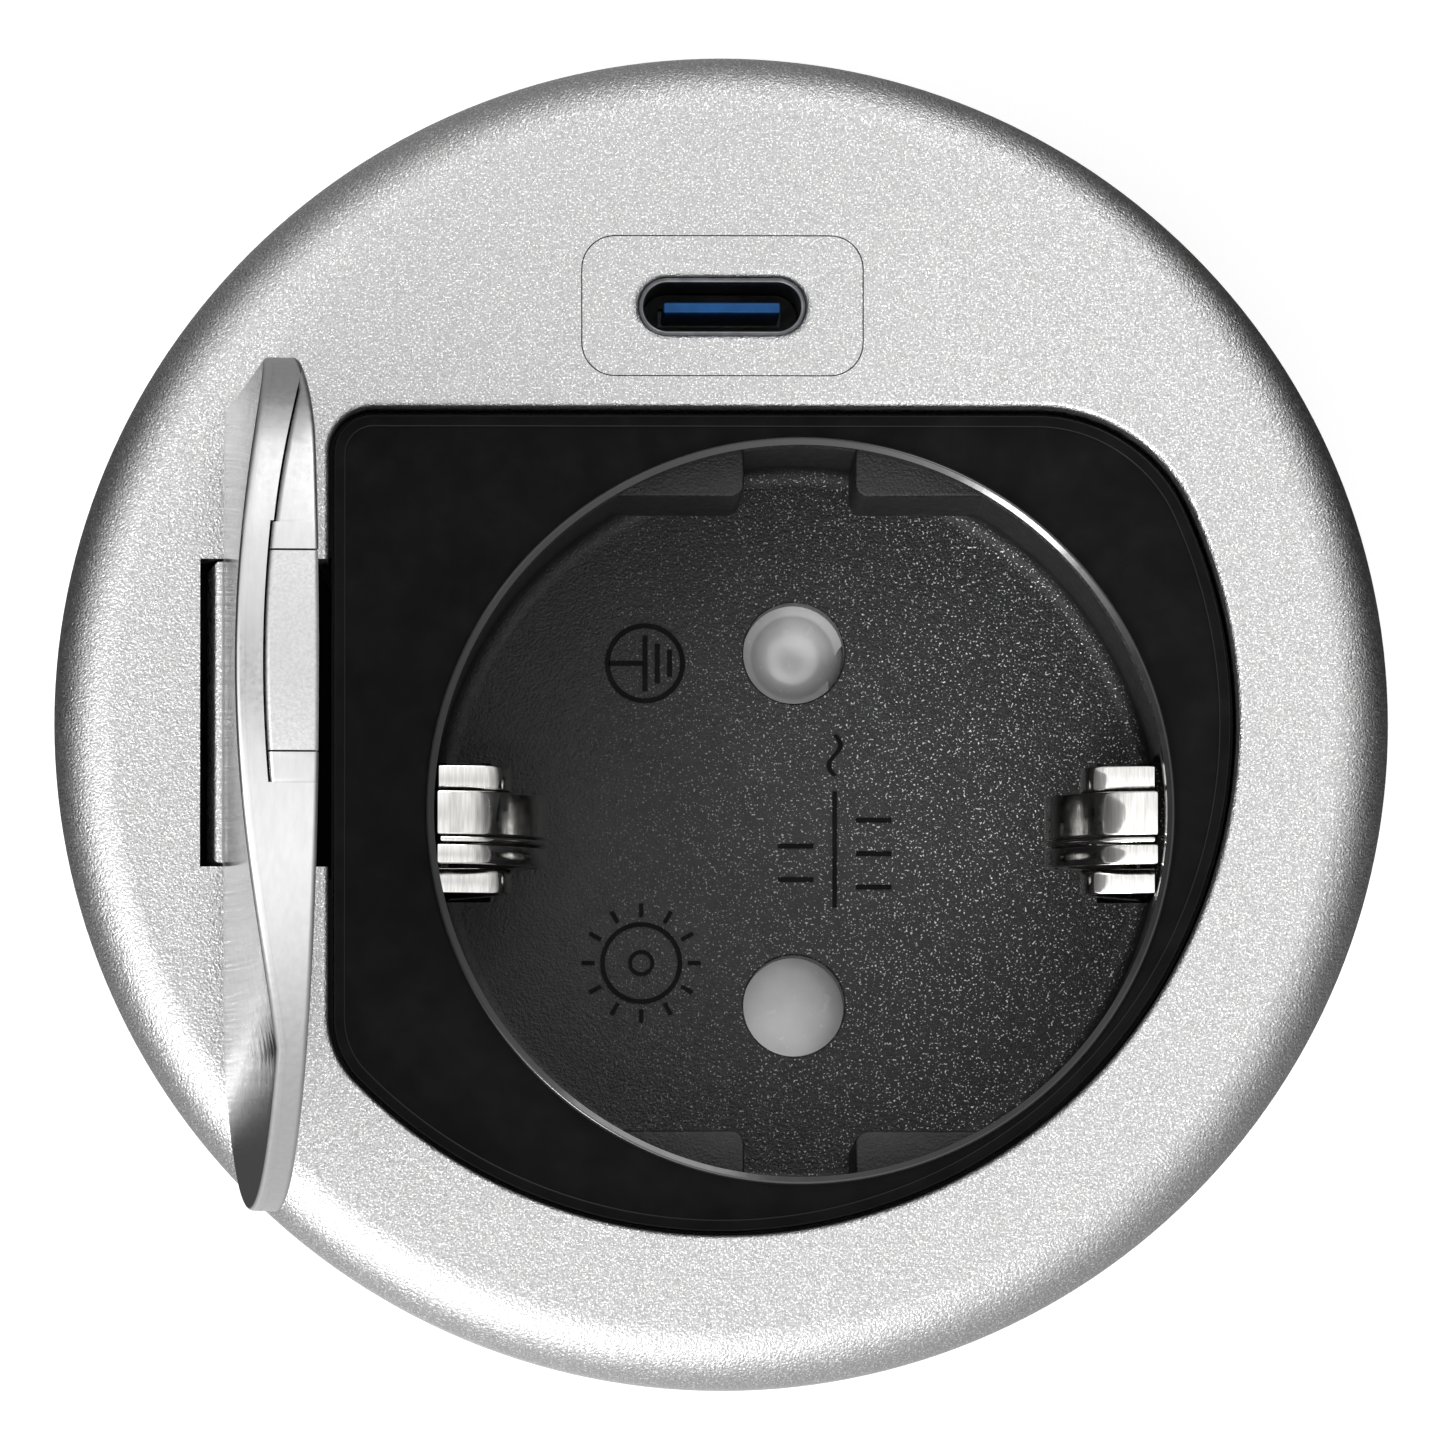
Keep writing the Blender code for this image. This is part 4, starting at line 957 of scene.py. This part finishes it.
def strip(name, path, half, y0, y1):
    """A bent metal strip that follows an (x, z) path."""
    left = []
    right = []
    for i, point in enumerate(path):
        before = Vector(path[max(i - 1, 0)])
        after = Vector(path[min(i + 1, len(path) - 1)])
        run = (after - before).normalized()
        normal = Vector((-run.y, run.x)) * half
        left.append(tuple(Vector(point) + normal))
        right.append(tuple(Vector(point) - normal))
    return bar_along_y(name, left + right[::-1], y0, y1)


def smooth_path(points, steps):
    """Catmull-Rom points through the given ones."""
    points = [Vector(p) for p in points]
    padded = [points[0]] + points + [points[-1]]
    path = []
    for i in range(1, len(padded) - 2):
        a, b, c, d = padded[i - 1 : i + 3]
        for k in range(steps):
            t = k / steps
            square = (2 * a - 5 * b + 4 * c - d) * t**2
            cube = (3 * b - a - 3 * c + d) * t**3
            path.append(0.5 * (2 * b + (c - a) * t + square + cube))
    path.append(points[-1])
    return [tuple(p) for p in path]


def make_clip(side, node):
    """A sprung earth clip: two leaves beside a raised blade that bulge into the well, over a folded root."""
    bend = [(18.2, -23.0), (18.2, -16.6), (16.9, -14.0), (14.1, -11.4), (13.6, -10.1), (14.0, -8.9)]
    bend += [(15.4, -7.2), (16.7, -6.0), (17.7, -5.5), (19.3, -5.1)]
    fold = [(18.75, -22.0), (18.75, -16.0), (18.0, -14.0), (15.9, -10.6), (15.5, -9.3), (16.2, -8.3)]
    fold += [(17.8, -7.8), (19.2, -7.5)]
    leaf = (smooth_path(bend, 8), 0.27, 0.12)
    shoulder = (smooth_path(fold, 6), 0.24, 0.1)
    pieces = []
    for (path, half, rounding), y0, y1, rise in (
        (leaf, -0.85, 1.5, 0.0), (leaf, -1.25, -0.95, 0.22), (leaf, -2.4, -1.35, 0.0),
        (shoulder, 1.6, 3.0, 0.0), (shoulder, -3.85, -2.5, 0.0),
    ):
        placed = [(WELL.x + side * (x - rise * 0.7), z + rise * 0.7) for x, z in path]
        piece = strip("leaf", placed, half, WELL.y + y0, WELL.y + y1)
        pieces.append(round_edges(piece, lambda a, b: abs(a.y - b.y) < 0.01, rounding, 2))
    clip = merge(f"earth_clip_{'left' if side < 0 else 'right'}_leaves", pieces)
    show(clip, "body", "nickel_strip", "nickel", node)


# ---- under the desk

def ring_sector(inner, outer, middle_deg, width_deg, steps=12):
    start, end = middle_deg - width_deg / 2, middle_deg + width_deg / 2
    return arc(0.0, 0.0, outer, start, end, steps) + arc(0.0, 0.0, inner, end, start, steps)


def screw_places():
    """The centres of the three cover screws."""
    boxes = [node_box(f"cover_screw_{number}") for number in (1, 2, 3)]
    return [((low.x + high.x) / 2, (low.y + high.y) / 2) for low, high in boxes]


def make_housing():
    """The lower casing: a ring with grip ribs, snap arms up inside the collar and screw bosses."""
    top = COLLAR_END - GAP
    low = HOUSING_LOW.z
    profile = [(COLLAR_R - 0.3, top), (COLLAR_R, top - 0.3), (COLLAR_R, low + 0.3), (COLLAR_R - 0.3, low)]
    profile += [(COLLAR_R - 1.75, low), (COLLAR_R - 1.75, top)]
    parts = [turned("shell", profile, steps=192, closed=True)]
    for i in range(48):
        angle = math.radians(7.5 * i)
        r = COLLAR_R - 0.16
        rib = circle(r * math.cos(angle), r * math.sin(angle), 0.3, 10)
        parts.append(prism("rib", rib, low + 1.6, top - 1.6))
    for angle in (54.0, 132.0, 192.0):
        parts.append(prism("snap_arm", ring_sector(26.2, 27.4, angle, 20.0), low + 4.0, HOUSING_HIGH.z))
        parts.append(prism("snap_foot", ring_sector(26.0, 28.2, angle, 23.0), low + 3.3, top - 2.0))
    for x, y in screw_places():
        boss = [(2.5, low + 7.0), (2.5, low + 0.2), (1.35, low + 0.2), (1.35, low + 6.0)]
        boss += [(0.2, low + 6.0), (0.2, low + 7.0)]
        parts.append(turned("boss", boss, x, y, steps=40, closed=True))
        web = ring_sector(26.7, 28.2, math.degrees(math.atan2(y, x)), 4.0)
        parts.append(prism("web", web, low + 0.5, low + 6.5))
    show(merge("housing_ring", parts), "body", "black_plastic", "black", "housing")


def make_rear_cover():
    top, low = COVER_HIGH.z, COVER_LOW.z
    r = COVER_HIGH.x
    edge = [(r - 0.2, top), (r, top - 0.2)] + arc(r - 1.2, low + 1.2, 1.2, 0.0, -90.0, 8)
    cover = turned("rear_cover_disc", edge, steps=192)
    gland = (CAP_LOW + CAP_HIGH) / 2
    cutters = [prism("inlet", circle(gland.x, gland.y, 5.2, 48), low - 1.0, top + 1.0)]
    for x, y in screw_places():
        sink = [(1.6, top + 1.0), (1.6, low + 1.6), (2.9, low + 1.6), (3.1, low - 1.0)]
        cutters.append(turned("screw_way", sink, x, y, steps=40))
    for i in range(5):
        vent = rounded_rect(6.0, -12.0 + 4.5 * i, 16.0, 1.6, 0.79, 6)
        cutters.append(prism("vent", vent, low - 1.0, top + 1.0))
    combine(cover, cutters)
    round_edges(cover, at_height(low), 0.18, 2)
    show(cover, "body", "black_plastic", "black", "rear_cover")


def make_clamp():
    high, low = WASHER_HIGH.z, WASHER_LOW.z
    r, inner = WASHER_HIGH.x, 29.95
    profile = [(r - 0.2, high), (r, high - 0.2), (r, low + 0.2), (r - 0.2, low), (inner, low), (inner, high)]
    washer = turned("clamp_washer_ring", profile, steps=192, closed=True)
    show(washer, "clamp_washer", "zinc_steel", "steel", "clamp_washer")
    high, low = NUT_HIGH.z, NUT_LOW.z
    ring_r = NUT_HIGH.x - 1.2
    profile = [(ring_r - 0.4, high), (ring_r, high - 0.4), (ring_r, low + 0.5), (ring_r - 0.5, low)]
    profile += [(30.6, low), (inner, low + 0.6), (inner, high - 0.5), (30.4, high)]
    nut = turned("ring_nut_body", profile, steps=192, closed=True)
    for i in range(8):
        middle = 45.0 * i
        outline = arc(0.0, 0.0, NUT_HIGH.x - 0.02, middle - 7.0, middle + 7.0, 10)
        outline += arc(0.0, 0.0, ring_r - 0.9, middle + 8.5, middle - 8.5, 6)
        lug = prism("lug", outline, low, high - 1.6)
        round_edges(lug, lambda a, b: min(a.xy.length, b.xy.length) > ring_r, 0.35, 3)
        combine(nut, [lug], "UNION")
    show(nut, "ring_nut", "black_plastic", "black", "ring_nut")


def make_gland():
    gland = (CAP_LOW + CAP_HIGH) / 2
    x, y = gland.x, gland.y
    bottom, top = CAP_LOW.z, CAP_HIGH.z
    cap = prism("gland_cap", circle(x, y, 7.4, 6), bottom, top)
    dome = [(6.5, top), (7.4, top - 0.9)] + arc(5.0, bottom + 2.4, 2.4, 0.0, -90.0, 10)
    combine(cap, [turned("dome", dome, x, y, steps=96)], "INTERSECT")
    bore = [(5.1, top + 1.0), (5.1, bottom + 2.2), (3.8, bottom + 1.4), (3.8, bottom + 0.35)]
    combine(cap, [turned("bore", bore + [(4.4, bottom - 1.0)], x, y, steps=64)])
    outer = lambda p: (p - gland).xy.length > 6.5
    round_edges(cap, lambda a, b: abs(a.z - b.z) > 1.0 and outer(a) and outer(b), 0.3, 3)
    show(cap, "body", "black_plastic", "black", "gland_cap_nut")
    high, low = GLAND_HIGH.z, GLAND_LOW.z
    seat = COVER_LOW.z - GAP
    body = [(4.9, high), (4.9, seat), (6.7, seat), (6.9, seat - 0.2), (6.9, seat - 1.5)]
    body += [(6.7, seat - 1.7), (4.9, seat - 1.7), (4.9, low), (3.7, low), (3.7, high)]
    sleeve = turned("gland_sleeve", body, x, y, steps=72, closed=True)
    show(sleeve, "body", "black_plastic", "black", "gland_body")
    seal = [(4.6, bottom + 3.0), (3.75, bottom + 2.6), (3.75, bottom + 2.2), (4.9, bottom + 2.35)]
    ring = turned("gland_seal_ring", seal, x, y, steps=64, closed=True)
    show(ring, "body", "black_rubber", "rubber")


# ---- stage

def make_stage():
    """A pale floor under the part."""
    bm = bmesh.new()
    bmesh.ops.create_grid(bm, x_segments=2, y_segments=2, size=6.0)
    mesh = bpy.data.meshes.new("floor")
    bm.to_mesh(mesh)
    bm.free()
    floor = link("floor", mesh)
    floor.location.z = cad_bounds[0][2] - 0.5 * MM
    m = Nodes("floor_paper", (0.93, 0.93, 0.93), 0.9, specular=0.1)
    m.vary_color(m.noise(40.0), 0.99, 1.0)
    mesh.materials.append(m.material)
    m.finish("Emission Color", (1.0, 1.0, 1.0, 1.0))
    m.finish("Emission Strength", 0.3)
    floor.visible_glossy = False


# The studio's brightness by azimuth, in degrees from +X towards +Y: high up, low down, and at the horizon.
SKY_HIGH = ((0, 1.05), (60, 1.50), (90, 1.45), (120, 1.30), (150, 1.40), (180, 1.65), (210, 1.90),
            (240, 2.10), (270, 1.90), (300, 1.60), (330, 1.35))
SKY_BAND = ((0, 0.55), (60, 1.20), (90, 1.00), (120, 0.85), (150, 0.90), (180, 1.60), (205, 3.20),
            (240, 4.50), (270, 1.70), (300, 1.10), (330, 0.90))
SKY_LOW = ((0, 0.20), (30, 0.18), (55, 0.95), (90, 1.00), (120, 0.48), (150, 0.35), (180, 0.40),
           (210, 1.15), (240, 1.55), (270, 1.20), (300, 0.78), (330, 0.50))
SKY_HORIZON = ((0, 0.06), (30, 0.03), (60, 0.10), (90, 0.40), (120, 0.38), (150, 0.09), (180, 0.07),
               (210, 0.50), (240, 1.00), (270, 0.85), (300, 0.62), (330, 0.36), (345, 0.18))
SKY_STRENGTH = 0.85
CAMERA_HOLE = 0.12
CAMERA_PLACE = (-0.028, -0.092, 1.5)
CAMERA_AIM = (0.0, -0.14 * MM, FLANGE_TOP * MM)
CAMERA_LENS = 703.0


def make_world():
    """A soft studio: bright overhead round a dark camera hole, falling off to uneven dark walls."""
    world = bpy.data.worlds.new("studio")
    bpy.context.scene.world = world
    world.use_nodes = True
    tree = world.node_tree
    place = add_node(tree, "TexCoord").outputs["Generated"]
    split = add_node(tree, "SeparateXYZ", {0: place}).outputs
    azimuth = add_node(tree, "Math", {0: split["Y"], 1: split["X"]}, operation="ARCTAN2").outputs[0]
    zenith = add_node(tree, "Math", {0: split["Z"]}, operation="ARCCOSINE").outputs[0]

    def ramp(value, low, high, stops):
        share = add_node(tree, "MapRange", {"Value": value, "From Min": low, "From Max": high})
        node = add_node(tree, "ValToRGB", {"Fac": share.outputs["Result"]})
        node.color_ramp.interpolation = "EASE"
        elements = node.color_ramp.elements
        for i, (position, level) in enumerate(stops):
            element = elements[i] if i < 2 else elements.new(position)
            element.position = position
            element.color = (level, level, level, 1.0)
        return node.outputs["Color"]

    def by_azimuth(levels):
        ends = levels[0][1]
        stops = sorted(((degrees + 180.0) / 360.0 % 1.0, level) for degrees, level in levels)
        if stops[0][0] > 0.0:
            stops.insert(0, (0.0, ends))
        stops.append((1.0, stops[0][1]))
        return ramp(azimuth, -math.pi, math.pi, stops)

    def by_zenith(*stops):
        return ramp(zenith, 0.0, math.pi, [(degrees / 180.0, level) for degrees, level in stops])

    def blend(first, second, factor, how="MIX"):
        inputs = {"Factor": factor, "A": first, "B": second}
        return add_node(tree, "Mix", inputs, data_type="RGBA", blend_type=how).outputs["Result"]

    walls = blend(by_azimuth(SKY_LOW), by_azimuth(SKY_HORIZON), by_zenith((76, 0.0), (88, 1.0)))
    banded = blend(by_azimuth(SKY_HIGH), by_azimuth(SKY_BAND), by_zenith((42, 0.0), (50, 1.0), (60, 1.0)))
    dome = blend(banded, walls, by_zenith((58, 0.0), (72, 1.0)))
    hole = by_zenith((0, CAMERA_HOLE), (7, CAMERA_HOLE), (13, 1.0))
    background = tree.nodes["Background"]
    feed(tree, background.inputs["Color"], blend(dome, hole, 1.0, "MULTIPLY"))
    feed(tree, background.inputs["Strength"], SKY_STRENGTH)


def soft_light(name, place, size, power):
    """A round lamp that looks at the part."""
    data = bpy.data.lights.new(name, "AREA")
    data.shape = "DISK"
    data.size = size
    data.energy = power
    lamp = bpy.data.objects.new(name, data)
    lamp.location = place
    lamp.rotation_euler = (-Vector(place)).to_track_quat("-Z", "Y").to_euler()
    bpy.context.scene.collection.objects.link(lamp)


def make_lights():
    make_world()
    soft_light("key", (-0.74, -0.93, 1.07), 0.34, 8.0)
    soft_light("fill", (0.40, 0.90, 0.80), 0.5, 2.0)
    bpy.context.scene.view_settings.view_transform = "Standard"


def make_camera():
    """Nearly square on, from far above and a little in front."""
    data = bpy.data.cameras.new("camera")
    data.lens = CAMERA_LENS
    data.sensor_width = 36.0
    data.clip_start = 0.05
    data.clip_end = 20.0
    camera = bpy.data.objects.new("camera", data)
    place = Vector(CAMERA_PLACE)
    forward = (Vector(CAMERA_AIM) - place).normalized()
    right = forward.cross(Vector((0.0, 1.0, 0.0))).normalized()
    up = right.cross(forward)
    turn = Matrix((right, up, -forward)).transposed().to_4x4()
    camera.matrix_world = Matrix.Translation(place) @ turn
    bpy.context.scene.collection.objects.link(camera)
    bpy.context.scene.camera = camera


PLAIN_NODES = {
    "steel": ("hinge_pin", "cover_screw_1", "cover_screw_2", "cover_screw_3", "terminal_screw_live",
              "terminal_screw_neutral", "terminal_screw_earth", "shutter_spring"),
    "nickel": ("earth_bar",),
    "brass": ("contact_live", "contact_neutral"),
    "grey": ("contact_carrier", "gland_lock_nut"),
    "rubber": ("flange_gasket",),
    "board": ("usb_board",),
    "dark": ("usb_transformer", "usb_controller_chip"),
    "can": ("usb_capacitor",),
    "brown": ("usb_lead_live",),
    "blue_lead": ("usb_lead_neutral",),
}


def finish_plain_nodes():
    """The hidden CAD pieces keep their shapes and get procedural finishes."""
    for key, names in PLAIN_NODES.items():
        for name in names:
            slots = frame["nodes"][name].data.materials
            slots.clear()
            slots.append(LOOKS[key])


def main():
    make_bezel()
    make_usb()
    make_lid()
    make_pocket_plate()
    make_well()
    make_shutter()
    make_clip(-1, "earth_clip_left")
    make_clip(1, "earth_clip_right")
    make_housing()
    make_rear_cover()
    make_clamp()
    make_gland()
    finish_plain_nodes()
    make_stage()
    make_camera()
    make_lights()


main()
